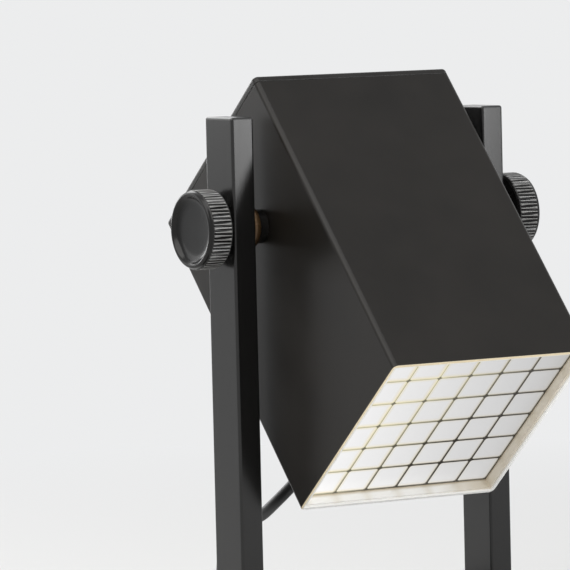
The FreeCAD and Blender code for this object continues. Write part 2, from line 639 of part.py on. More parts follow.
def bracket_points(y):
    """Two fixing points on each of the casing's side walls."""
    reach_x = INSIDE_WIDTH / 2 - BRACKET_SCREW_INSET
    reach_z = INSIDE_HEIGHT / 4
    return [Vector(sx * reach_x, y, HEAD_MID_Z + sz * reach_z) for sx in (-1, 1) for sz in (-1, 1)]


def heat_sink():
    plate = block(LINER_WIDTH, SINK_PLATE, LINER_HEIGHT, head_centre(LINER_REAR_Y + SINK_PLATE / 2))
    fin_width = INSIDE_WIDTH - 2 * BRACKET_REACH - 2 * WIRE_GAP
    for index in range(FIN_COUNT):
        z = HEAD_MID_Z + (index - (FIN_COUNT - 1) / 2) * FIN_PITCH
        fin = block(fin_width, FIN_HEIGHT, FIN_THICK, Vector(0, SINK_REAR_Y + FIN_HEIGHT / 2, z))
        plate = plate.fuse(fin)
    for point in bracket_points(SINK_REAR_Y):
        plate = plate.cut(rod(SCREW_DIAMETER + 2 * THREAD_FIT, point - Y_AXIS * SINK_PLATE, point))
    return plate


def engine_brackets():
    """Angle brackets bonded to the side walls behind the heat sink."""
    brackets = []
    for point in bracket_points(SINK_REAR_Y):
        outward = math.copysign(1, point.x)
        foot = block(BRACKET_REACH, BRACKET_THICK, BRACKET_WIDTH,
                     Vector(outward * (INSIDE_WIDTH / 2 - BRACKET_REACH / 2),
                            SINK_REAR_Y + BRACKET_THICK / 2, point.z))
        wall_x = outward * (INSIDE_WIDTH / 2 - BRACKET_THICK / 2)
        leg = block(BRACKET_THICK, BRACKET_LENGTH, BRACKET_WIDTH,
                    Vector(wall_x, SINK_REAR_Y + BRACKET_LENGTH / 2, point.z))
        hole = rod(SCREW_DIAMETER + 2 * HOLE_GAP, point, point + Y_AXIS * BRACKET_THICK)
        brackets.append(foot.fuse(leg).cut(hole))
    return Part.makeCompound(brackets)


def engine_screws():
    screws = []
    for point in bracket_points(SINK_REAR_Y + BRACKET_THICK):
        head = rod(SCREW_HEAD_DIAMETER, point, point + Y_AXIS * SCREW_HEAD_HEIGHT)
        shank_length = BRACKET_THICK + SINK_PLATE - SLIP_GAP
        screws.append(head.fuse(rod(SCREW_DIAMETER, point - Y_AXIS * shank_length, point)))
    return Part.makeCompound(screws)


def terminal_block():
    """Screw terminals on the casing floor, behind the lead's entry."""
    floor_z = HEAD_BOTTOM_Z + CASE_WALL
    y = HEAD_GLAND_Y + GLAND_NUT_DIAMETER / 2 + WIRE_GAP + TERMINAL_WIDTH / 2
    return block(TERMINAL_LENGTH, TERMINAL_WIDTH, TERMINAL_HEIGHT,
                 Vector(HEAD_GLAND_X, y, floor_z + TERMINAL_HEIGHT / 2))


# ---- glands and supply lead ------------------------------------------------------------------
def gland(seat, outward, wall):
    """Strain relief on a wall: flange and neck outside, threaded shank through it."""
    flange = rod(GLAND_FLANGE_DIAMETER, seat, seat + outward * GLAND_FLANGE_THICK)
    neck = rod(GLAND_NECK_DIAMETER, seat + outward * GLAND_FLANGE_THICK, seat + outward * GLAND_LENGTH)
    tip = edges_in_plane(neck, outward, (seat + outward * GLAND_LENGTH).dot(outward))
    neck = neck.makeFillet(GLAND_ROUND, tip)
    shank_end = seat - outward * GLAND_SHANK_LENGTH
    body = flange.fuse(neck).fuse(rod(GLAND_SHANK_DIAMETER, shank_end, seat))
    body = body.cut(rod(LEAD_DIAMETER + 2 * THREAD_FIT, shank_end, seat + outward * GLAND_LENGTH))
    nut_start = seat - outward * wall
    nut = tube(GLAND_NUT_DIAMETER, GLAND_SHANK_DIAMETER + 2 * THREAD_FIT, nut_start - outward * GLAND_NUT_THICK,
               nut_start)
    return body, nut


def lead_route():
    """Route of the lead: out of the head, a slack loop behind it, down into the base."""
    bottom = HEAD_BOTTOM_Z
    head_end = head_point(HEAD_GLAND_X, HEAD_GLAND_Y, bottom + GLAND_SHANK_LENGTH)
    leaves_head = head_point(HEAD_GLAND_X, HEAD_GLAND_Y, bottom - GLAND_LENGTH - HEAD_EXIT)
    enters_base = Vector(BASE_GLAND_X, BASE_GLAND_Y, BASE_TOP_Z + GLAND_LENGTH + BASE_EXIT)
    base_end = Vector(BASE_GLAND_X, BASE_GLAND_Y, BASE_TOP_Z - GLAND_SHANK_LENGTH)
    slack = [Vector(18.0, 50.0, 97.0), Vector(13.0, 56.0, 83.5), Vector(4.0, 58.5, 73.0),
             Vector(-8.0, 56.5, 65.0), Vector(-20.0, 50.5, 60.0), Vector(-33.0, 43.5, 60.5),
             Vector(-46.0, 35.0, 56.5)]
    return [head_end, leaves_head] + slack + [enters_base, base_end]


def swept_round(points, diameter):
    """Round wire or lead along straight runs joined by tangent arcs, with its tightest bend radius."""
    edges = []
    radii = []
    start = points[0]
    for before, corner, after in zip(points, points[1:], points[2:]):
        run_in = corner - before
        run_out = after - corner
        turn = run_in.getAngle(run_out)
        trim = BEND_SHARE * min(run_in.Length, run_out.Length)
        radius = trim / math.tan(turn / 2)
        radii.append(radius)
        arc_start = corner - run_in.normalize() * trim
        arc_end = corner + run_out.normalize() * trim
        to_centre = (run_out - run_in).normalize()
        arc_middle = corner + to_centre * (radius / math.cos(turn / 2) - radius)
        edges.append(Part.LineSegment(start, arc_start).toShape())
        edges.append(Part.Arc(arc_start, arc_middle, arc_end).toShape())
        start = arc_end
    edges.append(Part.LineSegment(start, points[-1]).toShape())
    path = Part.Wire(edges)
    first_run = points[1] - points[0]
    section = Part.Wire(Part.makeCircle(diameter / 2, points[0], first_run))
    swept = path.makePipeShell([section], True, True)
    expected = math.pi * (diameter / 2) ** 2 * path.Length
    print(f"  bend radii {', '.join(f'{radius:.1f}' for radius in radii)} mm")
    print(f"  length {path.Length:.1f} mm, volume over section times length {swept.Volume / expected:.4f}")
    return swept


# ---- push switch -----------------------------------------------------------------------------
SWITCH_FLANGE_TOP_Z = BASE_TOP_Z + SWITCH_FLANGE_THICK
BUTTON_TOP_Z = SWITCH_FLANGE_TOP_Z + BUTTON_PROUD
BUTTON_BOTTOM_Z = BUTTON_TOP_Z - BUTTON_THICK
SPRING_BOTTOM_Z = BUTTON_BOTTOM_Z - BUTTON_STEM_LENGTH - BUTTON_TRAVEL - SLIP_GAP


def switch_body():
    """Panel-mounted body with the bore in which the button slides."""
    barrel_bottom = BASE_TOP_Z - SWITCH_BARREL_LENGTH
    flange = rod(SWITCH_FLANGE_DIAMETER, SWITCH_CENTRE, at_height(SWITCH_CENTRE, SWITCH_FLANGE_TOP_Z))
    rim = edges_in_plane(flange, Z_AXIS, SWITCH_FLANGE_TOP_Z)
    flange = flange.makeChamfer(SWITCH_FLANGE_THICK / 4, rim)
    body = flange.fuse(rod(SWITCH_BARREL_DIAMETER, at_height(SWITCH_CENTRE, barrel_bottom), SWITCH_CENTRE))
    return body.cut(rod(BUTTON_DIAMETER + 2 * RUNNING_FIT, at_height(SWITCH_CENTRE, SPRING_BOTTOM_Z),
                        at_height(SWITCH_CENTRE, SWITCH_FLANGE_TOP_Z)))


def switch_nut():
    top_z = CAVITY_TOP_Z
    nut = hexagon(SWITCH_NUT_ACROSS, SWITCH_NUT_THICK, at_height(SWITCH_CENTRE, top_z - SWITCH_NUT_THICK))
    return nut.cut(rod(SWITCH_BARREL_DIAMETER + 2 * THREAD_FIT, at_height(SWITCH_CENTRE, top_z - SWITCH_NUT_THICK),
                       at_height(SWITCH_CENTRE, top_z)))


def switch_button():
    cap = rod(BUTTON_DIAMETER, at_height(SWITCH_CENTRE, BUTTON_BOTTOM_Z), at_height(SWITCH_CENTRE, BUTTON_TOP_Z))
    cap = cap.makeFillet(BUTTON_PROUD / 4, edges_in_plane(cap, Z_AXIS, BUTTON_TOP_Z))
    stem = rod(BUTTON_STEM_DIAMETER, at_height(SWITCH_CENTRE, BUTTON_BOTTOM_Z - BUTTON_STEM_LENGTH),
               at_height(SWITCH_CENTRE, BUTTON_BOTTOM_Z))
    return cap.fuse(stem)


def switch_spring():
    """Return spring between the bore's floor and the button's cap."""
    low = SPRING_BOTTOM_Z + SPRING_WIRE / 2 + SLIP_GAP
    high = BUTTON_BOTTOM_Z - SPRING_WIRE / 2 - SLIP_GAP
    mean_radius = (SPRING_DIAMETER - SPRING_WIRE) / 2
    steps = SPRING_TURNS * SPRING_STEPS_PER_TURN
    points = []
    for step in range(steps + 1):
        angle = 2 * math.pi * step / SPRING_STEPS_PER_TURN
        offset = Vector(mean_radius * math.cos(angle), mean_radius * math.sin(angle), 0)
        points.append(at_height(SWITCH_CENTRE + offset, low + (high - low) * step / steps))
    return swept_round(points, SPRING_WIRE)


# ---- power inlet and driver ------------------------------------------------------------------
def power_inlet():
    """Low-voltage barrel socket in the base's rear wall, with its centre pin."""
    outer_face = INLET_CENTRE + Y_AXIS * INLET_FLANGE_THICK
    inner_end = INLET_CENTRE - Y_AXIS * INLET_LENGTH
    body = rod(INLET_FLANGE_DIAMETER, INLET_CENTRE, outer_face)
    body = body.fuse(rod(INLET_BARREL_DIAMETER, inner_end, INLET_CENTRE))
    bore_end = outer_face - Y_AXIS * INLET_BORE_DEPTH
    body = body.cut(rod(INLET_BORE_DIAMETER, bore_end, outer_face))
    pin_tip = outer_face - Y_AXIS * INLET_FLANGE_THICK
    return body.fuse(rod(INLET_PIN_DIAMETER, bore_end, pin_tip))


def inlet_nut():
    start = INLET_CENTRE - Y_AXIS * BASE_WALL
    return tube(INLET_FLANGE_DIAMETER, INLET_BARREL_DIAMETER + 2 * THREAD_FIT,
                start - Y_AXIS * INLET_NUT_THICK, start)


def driver_standoff_centres():
    reach = DRIVER_LENGTH / 2 - DRIVER_STANDOFF_DIAMETER / 2
    return [Vector(DRIVER_X + side * reach, DRIVER_Y, 0) for side in (-1, 1)]


def driver_standoffs():
    """Pillars screwed into the ballast, with studs that carry the driver board."""
    pillars = []
    for centre in driver_standoff_centres():
        foot = at_height(centre, BALLAST_BOTTOM_Z)
        board_top = foot - Z_AXIS * DRIVER_STANDOFF
        pillar = rod(DRIVER_STANDOFF_DIAMETER, board_top, foot)
        stud_top = foot + Z_AXIS * (BALLAST_THICK / 2 - SLIP_GAP)
        pin_end = board_top - Z_AXIS * DRIVER_BOARD_THICK
        pillars.append(pillar.fuse(rod(SCREW_DIAMETER, pin_end, stud_top)))
    return Part.makeCompound(pillars)


def driver_board():
    """Dimming and current control board hung under the ballast."""
    top_z = BALLAST_BOTTOM_Z - DRIVER_STANDOFF
    board = block(DRIVER_LENGTH, DRIVER_WIDTH, DRIVER_BOARD_THICK,
                  Vector(DRIVER_X, DRIVER_Y, top_z - DRIVER_BOARD_THICK / 2))
    for offset in (-1, 0, 1):
        part_centre = Vector(DRIVER_X + offset * DRIVER_PART_PITCH, DRIVER_Y - DRIVER_PART_SIDE / 2,
                             top_z - DRIVER_BOARD_THICK - DRIVER_PART_HEIGHT / 2)
        board = board.fuse(block(DRIVER_PART_SIDE, DRIVER_PART_SIDE, DRIVER_PART_HEIGHT, part_centre))
    for centre in driver_standoff_centres():
        board = board.cut(rod(SCREW_DIAMETER + 2 * SLIP_GAP, at_height(centre, top_z - DRIVER_BOARD_THICK),
                              at_height(centre, top_z)))
    return board


# ---- build every sub-part --------------------------------------------------------------------
def build():
    os.makedirs("parts", exist_ok=True)

    save("base_housing", base_housing())
    save("ballast_plate", ballast_plate())
    save("base_cover", base_cover())
    save("base_pad", base_pad())
    save("cover_screws", cover_screws())
    save("post_screws", post_screws())

    for name, side in (("left", -1), ("right", 1)):
        save(name + "_post", post(side))
        save(name + "_clamp_knob", clamp_knob(side))
        save(name + "_clamp_stud", clamp_stud(side))
        save(name + "_knob_washer", knob_washer(side))
        save(name + "_pivot_plate", into_head(pivot_plate(side)))
        save(name + "_spacer", into_head(pivot_spacer(side)))
        save(name + "_friction_washer", into_head(friction_washer(side)))

    save("head_casing", into_head(head_casing()))
    save("rear_cover", into_head(rear_cover()))
    save("corner_blocks", into_head(corner_blocks()))
    save("rear_cover_screws", into_head(rear_cover_screws()))
    save("white_liner", into_head(white_liner()))
    save("opal_diffuser", into_head(opal_diffuser()))
    save("cell_grille", into_head(cell_grille()))
    save("led_board", into_head(led_board()))
    save("led_chips", into_head(led_chips()))
    save("heat_sink", into_head(heat_sink()))
    save("engine_brackets", into_head(engine_brackets()))
    save("engine_screws", into_head(engine_screws()))
    save("terminal_block", into_head(terminal_block()))

    head_seat = Vector(HEAD_GLAND_X, HEAD_GLAND_Y, HEAD_BOTTOM_Z)
    head_gland, head_gland_nut = gland(head_seat, Vector(0, 0, -1), CASE_WALL)
    save("head_gland", into_head(head_gland))
    save("head_gland_nut", into_head(head_gland_nut))
    base_gland, base_gland_nut = gland(BASE_GLAND_CENTRE, Z_AXIS, BASE_WALL)
    save("base_gland", base_gland)
    save("base_gland_nut", base_gland_nut)
    save("supply_lead", swept_round(lead_route(), LEAD_DIAMETER))

    save("switch_body", switch_body())
    save("switch_nut", switch_nut())
    save("switch_button", switch_button())
    save("switch_spring", switch_spring())

    save("power_inlet", power_inlet())
    save("inlet_nut", inlet_nut())
    save("driver_standoffs", driver_standoffs())
    save("driver_board", driver_board())


build()
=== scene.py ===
import bmesh
import bpy
import json
import math
from mathutils import Matrix, Vector


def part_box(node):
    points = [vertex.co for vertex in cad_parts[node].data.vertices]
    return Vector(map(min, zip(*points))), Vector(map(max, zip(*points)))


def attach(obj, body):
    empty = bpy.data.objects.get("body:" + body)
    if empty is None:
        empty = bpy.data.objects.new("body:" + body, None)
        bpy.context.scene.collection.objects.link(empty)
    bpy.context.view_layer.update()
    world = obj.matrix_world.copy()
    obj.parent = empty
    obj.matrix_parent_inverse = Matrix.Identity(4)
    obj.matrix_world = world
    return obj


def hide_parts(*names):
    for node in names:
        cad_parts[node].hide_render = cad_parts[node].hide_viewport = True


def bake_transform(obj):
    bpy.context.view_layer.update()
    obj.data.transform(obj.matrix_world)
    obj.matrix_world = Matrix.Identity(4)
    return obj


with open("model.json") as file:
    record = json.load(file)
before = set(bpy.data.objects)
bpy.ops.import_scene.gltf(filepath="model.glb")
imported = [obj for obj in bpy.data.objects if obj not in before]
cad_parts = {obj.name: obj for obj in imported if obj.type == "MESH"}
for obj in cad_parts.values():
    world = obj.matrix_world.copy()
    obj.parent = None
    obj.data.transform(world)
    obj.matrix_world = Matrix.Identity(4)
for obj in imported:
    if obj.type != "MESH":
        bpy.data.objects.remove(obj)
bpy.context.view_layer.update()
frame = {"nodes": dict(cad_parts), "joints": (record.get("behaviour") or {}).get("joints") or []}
cadNodes = frame["nodes"]
joints = {joint["name"]: joint for joint in frame["joints"]}
mm = 0.001
mergeDistance = 1e-7
print("frame loaded,", len(cadNodes), "nodes")

# camera
camera = {
    "lens": 333.2,
    "sensor": 36.0,
    "yaw": 32.43,            # degrees to the right of straight back
    "pitch": 3.93,           # degrees downwards
    "roll": -1.38,
    "place": (-1188.7 * mm, -1813.8 * mm, 309.0 * mm),
}


def makeCamera():
    data = bpy.data.cameras.new("camera")
    data.lens = camera["lens"]
    data.sensor_width = camera["sensor"]
    data.clip_end = 50
    eye = bpy.data.objects.new("camera", data)
    bpy.context.scene.collection.objects.link(eye)
    turn = Matrix.Rotation(math.radians(-camera["yaw"]), 4, "Z")
    nod = Matrix.Rotation(math.radians(90 - camera["pitch"]), 4, "X")
    lean = Matrix.Rotation(math.radians(camera["roll"]), 4, "Z")
    eye.matrix_world = Matrix.Translation(camera["place"]) @ turn @ nod @ lean
    bpy.context.scene.camera = eye


# mesh tools
def addBlock(shape, size, centre):
    corners = bmesh.ops.create_cube(shape, size=1.0)["verts"]
    bmesh.ops.scale(shape, vec=size, verts=corners)
    bmesh.ops.translate(shape, vec=centre, verts=corners)
    return corners


def edgesAlong(corners, axis):
    picked = set()
    for corner in corners:
        for edge in corner.link_edges:
            run = (edge.verts[1].co - edge.verts[0].co).normalized()
            if abs(run[axis]) > 0.999:
                picked.add(edge)
    return list(picked)


def edgesAt(shape, axis, place):
    return [edge for edge in shape.edges if all(abs(v.co[axis] - place) < 1e-6 for v in edge.verts)]


def roundEdges(shape, edges, radius, steps):
    bmesh.ops.bevel(shape, geom=edges, offset=radius, segments=steps, profile=0.5, affect="EDGES",
                    material=-1)


def addTurned(shape, profile, steps, place=Matrix.Identity(4), ring=False):
    # profile of (along, radius) in mm, turned about +X, then put in place
    old = set(shape.verts)
    line = [shape.verts.new((along * mm, 0, radius * mm)) for along, radius in profile]
    pairs = list(zip(line, line[1:]))
    if ring:
        pairs.append((line[-1], line[0]))
    edges = [shape.edges.new(pair) for pair in pairs]
    bmesh.ops.spin(shape, geom=line + edges, cent=(0, 0, 0), axis=(1, 0, 0), dvec=(0, 0, 0),
                   angle=math.tau, steps=steps, use_merge=True, use_duplicate=False)
    fresh = [vert for vert in shape.verts if vert not in old]
    bmesh.ops.remove_doubles(shape, verts=fresh, dist=mergeDistance)
    fresh = [vert for vert in shape.verts if vert not in old]
    bmesh.ops.transform(shape, matrix=place, verts=fresh)
    return fresh


def addRod(shape, diameter, start, end, steps=48):
    run = end - start
    rod = bmesh.ops.create_cone(shape, cap_ends=True, segments=steps, radius1=diameter / 2,
                                radius2=diameter / 2, depth=run.length)["verts"]
    place = Matrix.Translation((start + end) / 2) @ run.to_track_quat("Z", "Y").to_matrix().to_4x4()
    bmesh.ops.transform(shape, matrix=place, verts=rod)


def makePiece(name, shape):
    bmesh.ops.remove_doubles(shape, verts=shape.verts, dist=mergeDistance)
    bmesh.ops.recalc_face_normals(shape, faces=shape.faces)
    mesh = bpy.data.meshes.new(name)
    shape.to_mesh(mesh)
    shape.free()
    piece = bpy.data.objects.new(name, mesh)
    bpy.context.scene.collection.objects.link(piece)
    return piece


def carve(piece, cutterShape):
    cutter = makePiece("cutter", cutterShape)
    cut = piece.modifiers.new("cut", "BOOLEAN")
    cut.operation = "DIFFERENCE"
    cut.solver = "EXACT"
    cut.object = cutter
    bpy.context.view_layer.update()
    evaluated = piece.evaluated_get(bpy.context.evaluated_depsgraph_get())
    carved = bpy.data.meshes.new_from_object(evaluated)
    piece.modifiers.clear()
    plain = piece.data
    piece.data = carved
    carved.name = piece.name
    bpy.data.meshes.remove(plain)
    bpy.data.meshes.remove(cutter.data)


def dress(piece, finish, body, stands, place=None, smooth=35, soften=0.0):
    # put the piece in place, give it its finish and let it stand for its CAD nodes
    mesh = piece.data
    if place is not None:
        mesh.transform(place)
    mesh.materials.clear()
    mesh.materials.append(finish)
    mesh.shade_smooth()
    mesh.set_sharp_from_angle(angle=math.radians(smooth))
    if soften:
        bevel = piece.modifiers.new("soften", "BEVEL")
        bevel.width = soften
        bevel.segments = 2
        bevel.limit_method = "ANGLE"
        bevel.angle_limit = math.radians(40)
    normals = piece.modifiers.new("normals", "WEIGHTED_NORMAL")
    normals.keep_sharp = True
    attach(piece, body)
    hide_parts(*stands)
    return piece


# finishes
def newFinish(name):
    finish = bpy.data.materials.new(name)
    finish.use_nodes = True
    return finish, finish.node_tree, finish.node_tree.nodes["Principled BSDF"]


def feed(tree, node, inputs):
    # inputs by name or number, each a value or another node's output
    for name, value in inputs.items():
        if isinstance(value, bpy.types.NodeSocket):
            tree.links.new(value, node.inputs[name])
        else:
            node.inputs[name].default_value = value


def addNode(tree, kind, inputs=None, **settings):
    node = tree.nodes.new("ShaderNode" + kind)
    for name, value in settings.items():
        setattr(node, name, value)
    feed(tree, node, inputs or {})
    return node


def objectPoint(tree, centre=(0, 0, 0), turn=(0, 0, 0), stretch=(1, 1, 1)):
    # a point of the piece, centred, turned and stretched for a pattern
    coordinates = addNode(tree, "TexCoord")
    shifted = addNode(tree, "Mapping", {"Vector": coordinates.outputs["Object"],
                                        "Location": [-value for value in centre]})
    turned = addNode(tree, "Mapping", {"Vector": shifted.outputs["Vector"],
                                       "Rotation": turn, "Scale": stretch})
    return turned.outputs["Vector"]


def noise(tree, point, scale, detail=2.0, roughness=0.5):
    grain = addNode(tree, "TexNoise", {"Vector": point, "Scale": scale, "Detail": detail,
                                       "Roughness": roughness})
    return grain.outputs["Fac"]


def spread(tree, value, low, high, newLow, newHigh):
    # a value's range mapped onto a new one, and held at its ends
    ranged = addNode(tree, "MapRange", {"Value": value, "From Min": low, "From Max": high,
                                        "To Min": newLow, "To Max": newHigh})
    return ranged.outputs["Result"]


def ramp(tree, value, start, end):
    return spread(tree, value, start, end, 0, 1)


def blendColours(tree, amount, first, second):
    return addNode(tree, "Mix", {0: amount, 6: first, 7: second}, data_type="RGBA").outputs[2]


def arithmetic(tree, operation, first, second=0.0):
    return addNode(tree, "Math", {0: first, 1: second}, operation=operation).outputs["Value"]


def bump(tree, shader, height, strength, distance):
    relief = addNode(tree, "Bump", {"Height": height, "Strength": strength, "Distance": distance})
    feed(tree, shader, {"Normal": relief.outputs["Normal"]})


noiseRange = (0.3, 0.7)         # where most of a noise pattern's values lie
normalsAgree = (0.995, 0.90)    # where an edge's wear starts and is full


def edgeMask(tree, width):
    # near 1 where two faces meet at an edge, 0 on flats
    rounded = addNode(tree, "Bevel", {"Radius": width}, samples=4)
    surface = addNode(tree, "NewGeometry")
    match = addNode(tree, "VectorMath", {0: rounded.outputs["Normal"], 1: surface.outputs["Normal"]},
                    operation="DOT_PRODUCT")
    return ramp(tree, match.outputs["Value"], *normalsAgree)


def mottled(tree, pattern, settings):
    return blendColours(tree, ramp(tree, pattern, *noiseRange), settings["dark"], settings["light"])


def wearEdges(tree, base, wear, settings):
    rubbed = arithmetic(tree, "MULTIPLY", edgeMask(tree, settings["edgeWidth"]), wear)
    return blendColours(tree, rubbed, base, settings["edge"])


def setSurface(tree, shader, base, pattern, settings, start=0.25, end=0.75):
    gloss = spread(tree, pattern, start, end, *settings["roughness"])
    feed(tree, shader, {"Base Color": base, "Roughness": gloss, "Specular IOR Level": settings["specular"],
                        "Metallic": settings.get("metallic", 0.0)})


def coatFinish(name, settings):
    # dark powder coat or anodised skin: soft mottle, fine pores, edges rubbed a little lighter
    finish, tree, shader = newFinish(name)
    point = objectPoint(tree)
    mottle = noise(tree, point, scale=28.0, detail=3.0, roughness=0.55)
    pores = noise(tree, point, settings["grainScale"], roughness=0.6)
    base = mottled(tree, mottle, settings)
    flecks = spread(tree, pores, 0.62, 0.72, 0.0, settings["fleck"])
    base = blendColours(tree, flecks, base, settings["edge"])
    patches = noise(tree, point, scale=240.0, detail=3.0, roughness=0.6)
    wear = spread(tree, patches, 0.35, 0.7, 0.15, settings["wear"])
    setSurface(tree, shader, wearEdges(tree, base, wear, settings), mottle, settings)
    bump(tree, shader, pores, settings["relief"], distance=0.08 * mm)
    return finish


def brushedFinish(name, settings):
    # drawn or brushed metal: long streaks along one axis over a soft mottle
    finish, tree, shader = newFinish(name)
    drawn = objectPoint(tree, stretch=settings["stretch"])
    streaks = noise(tree, drawn, settings["streakScale"], detail=4.0, roughness=0.65)
    mottle = noise(tree, objectPoint(tree), scale=40.0)
    base = mottled(tree, streaks, settings)
    base = blendColours(tree, spread(tree, mottle, 0.45, 0.75, 0.0, 0.5), base, settings["light"])
    setSurface(tree, shader, wearEdges(tree, base, settings["wear"], settings), streaks, settings)
    bump(tree, shader, streaks, settings["relief"], distance=0.03 * mm)
    return finish


def turnedFinish(name, settings, centre, turn, knurl=False):
    # lathe-turned metal: fine rings about the turning axis
    finish, tree, shader = newFinish(name)
    point = objectPoint(tree, centre=centre, turn=turn)
    rings = addNode(tree, "TexWave", {"Vector": point, "Scale": settings["ringScale"], "Distortion": 0.6,
                                      "Detail": 2.0, "Detail Scale": 3.0},
                    wave_type="RINGS", rings_direction="X")
    mottle = noise(tree, point, scale=90.0, detail=3.0, roughness=0.6)
    base = wearEdges(tree, mottled(tree, mottle, settings), settings["wear"], settings)
    if knurl:
        base = shadeKnurl(tree, point, base, settings)
    setSurface(tree, shader, base, mottle, settings)
    bump(tree, shader, rings.outputs["Fac"], settings["relief"], distance=0.02 * mm)
    return finish


def shadeKnurl(tree, point, base, settings):
    # crests lighter, as rubbed metal and as painted highlight, and grooves darker as painted shade, only
    # between the knurl's ends
    parts = addNode(tree, "SeparateXYZ", {"Vector": point})
    around = addNode(tree, "CombineXYZ", {"Y": parts.outputs["Y"], "Z": parts.outputs["Z"]})
    radius = addNode(tree, "VectorMath", {"Vector": around.outputs["Vector"]}, operation="LENGTH")
    along = arithmetic(tree, "ABSOLUTE", parts.outputs["X"])
    start = arithmetic(tree, "GREATER_THAN", along, knob["back"] + knob["knurlFrom"] - knob["knurlMargin"])
    end = arithmetic(tree, "LESS_THAN", along, knob["back"] + knob["knurlTo"] + knob["knurlMargin"])
    band = arithmetic(tree, "MULTIPLY", start, end)
    height = radius.outputs["Value"]
    deep = ramp(tree, height, *knob["grooveShade"])
    base = blendColours(tree, arithmetic(tree, "MULTIPLY", band, deep), base, settings["groove"])
    high = ramp(tree, height, *knob["crestShade"])
    return blendColours(tree, arithmetic(tree, "MULTIPLY", band, high), base, settings["crest"])


def mouldedFinish(name, settings):
    # moulded plastic or rubber: fine spark texture, faint flow mottle
    finish, tree, shader = newFinish(name)
    point = objectPoint(tree)
    spark = noise(tree, point, settings["grainScale"], detail=3.0, roughness=0.7)
    mottle = noise(tree, point, scale=60.0)
    setSurface(tree, shader, mottled(tree, mottle, settings), spark, settings, *noiseRange)
    bump(tree, shader, spark, settings["relief"], distance=0.05 * mm)
    return finish


# head
head = {
    "tilt": 48.75,           # degrees that the beam points below level
    "length": 150.0 * mm,
    "width": 95.0 * mm,
    "height": 95.0 * mm,
    "rear": 47.8 * mm,       # from the pivot
    "top": 38.2 * mm,
    "wall": 1.5 * mm,
    "edge": 2.2 * mm,
    "edgeSteps": 6,
    "lip": 0.3 * mm,
    "hubHole": 12.2 * mm,
    "glandHole": 8.2 * mm,
    "gland": (17.5 * mm, -29.2 * mm),
}
pivot = Vector(joints["head_tilt"]["pos_m"])
headPlace = Matrix.Translation(pivot) @ Matrix.Rotation(math.radians(head["tilt"]), 4, "X")
headMiddle = head["top"] - head["height"] / 2
headBottom = head["top"] - head["height"]
headFront = head["rear"] - head["length"]

rearCover = {
    "thick": 3.0 * mm,
    "edge": 1.2 * mm,
    "soften": 0.2 * mm,
    "cornerBlock": 9.1 * mm,
    "vents": 5,
    "ventPitch": 8.0 * mm,
    "ventLength": 52.0 * mm,
    "ventWidth": 3.0 * mm,
    "screwHole": 4.0 * mm,
}
tubeRear = head["rear"] - rearCover["thick"]

casingCoat = {
    "dark": (0.0072, 0.0061, 0.0050, 1),
    "light": (0.0115, 0.0098, 0.0081, 1),
    "edge": (0.040, 0.038, 0.035, 1),
    "edgeWidth": 1.1 * mm,
    "grainScale": 2600.0,
    "roughness": (0.29, 0.38),
    "specular": 0.21,
    "wear": 0.16,
    "fleck": 0.10,
    "relief": 0.10,
}
coverCoat = dict(casingCoat, light=(0.020, 0.019, 0.018, 1), edge=(0.14, 0.14, 0.138, 1), edgeWidth=0.5 * mm,
                 wear=0.7)


def makeCasing():
    tubeLength = tubeRear - headFront
    middle = Vector((0, (tubeRear + headFront) / 2, headMiddle))
    shape = bmesh.new()
    corners = addBlock(shape, (head["width"], tubeLength, head["height"]), middle)
    roundEdges(shape, edgesAlong(corners, 1), head["edge"], head["edgeSteps"])
    casing = makePiece("headCasing", shape)
    hollow = bmesh.new()
    inside = (head["width"] - 2 * head["wall"], tubeLength * 1.1, head["height"] - 2 * head["wall"])
    addBlock(hollow, inside, middle)
    carve(casing, hollow)
    holes = bmesh.new()
    reach = Vector((head["width"], 0, 0))
    addRod(holes, head["hubHole"], -reach, reach)
    glandX, glandY = head["gland"]
    below = Vector((glandX, glandY, headBottom - head["wall"]))
    addRod(holes, head["glandHole"], below, below + Vector((0, 0, 3 * head["wall"])))
    carve(casing, holes)
    finish = coatFinish("casing coat", casingCoat)
    whitenRim(finish)
    dress(casing, finish, "head", ["head_casing"], headPlace, soften=head["lip"])


frontRim = {
    # where the enamel starts and is full, behind the casing's front edge
    "lip": (0.30 * mm, 0.12 * mm),
    "inside": (1.3 * mm, 1.1 * mm),
    "liner": (1.1 * mm, 0.9 * mm),
    # where its painted warm glow starts and is full, outwards from the casing's inner faces
    "leftWarmGlow": (0.2 * mm, 1.0 * mm),
    "upperWarmGlow": (-0.2 * mm, 0.6 * mm),
    "warmGlowTint": (0.80, 0.69, 0.48, 1),
    # strength of the rim's painted glow
    "glow": 0.16,
}


def behindLip(tree, parts, name):
    start, full = frontRim[name]
    return ramp(tree, parts.outputs["Y"], headFront + start, headFront + full)


def whitenRim(finish):
    # the liner's white enamel runs over the casing's front rim; it also carries a painted glow, warmer on the
    # opening's upper and left sides
    tree = finish.node_tree
    shader = tree.nodes["Principled BSDF"]
    coat = shader.inputs["Base Color"].links[0].from_socket
    parts = addNode(tree, "SeparateXYZ", {"Vector": levelHeadPoint(tree)})
    sideways = arithmetic(tree, "ABSOLUTE", parts.outputs["X"])
    upwards = arithmetic(tree, "ABSOLUTE", parts.outputs["Z"])
    inside = arithmetic(tree, "LESS_THAN", arithmetic(tree, "MAXIMUM", sideways, upwards),
                        head["width"] / 2 - 0.5 * head["wall"])
    onInside = arithmetic(tree, "MULTIPLY", behindLip(tree, parts, "inside"), inside)
    onRim = arithmetic(tree, "MAXIMUM", behindLip(tree, parts, "lip"), onInside)
    # white enamel, tinted warm on the upper and left sides as painted light, and given as a painted glow too
    enamelAndGlow = blendColours(tree, warmGlowSides(tree, parts), panel["linerLight"], frontRim["warmGlowTint"])
    feed(tree, shader, {"Base Color": blendColours(tree, onRim, coat, enamelAndGlow),
                        "Emission Color": blendColours(tree, onRim, (0, 0, 0, 1), enamelAndGlow),
                        "Emission Strength": frontRim["glow"]})


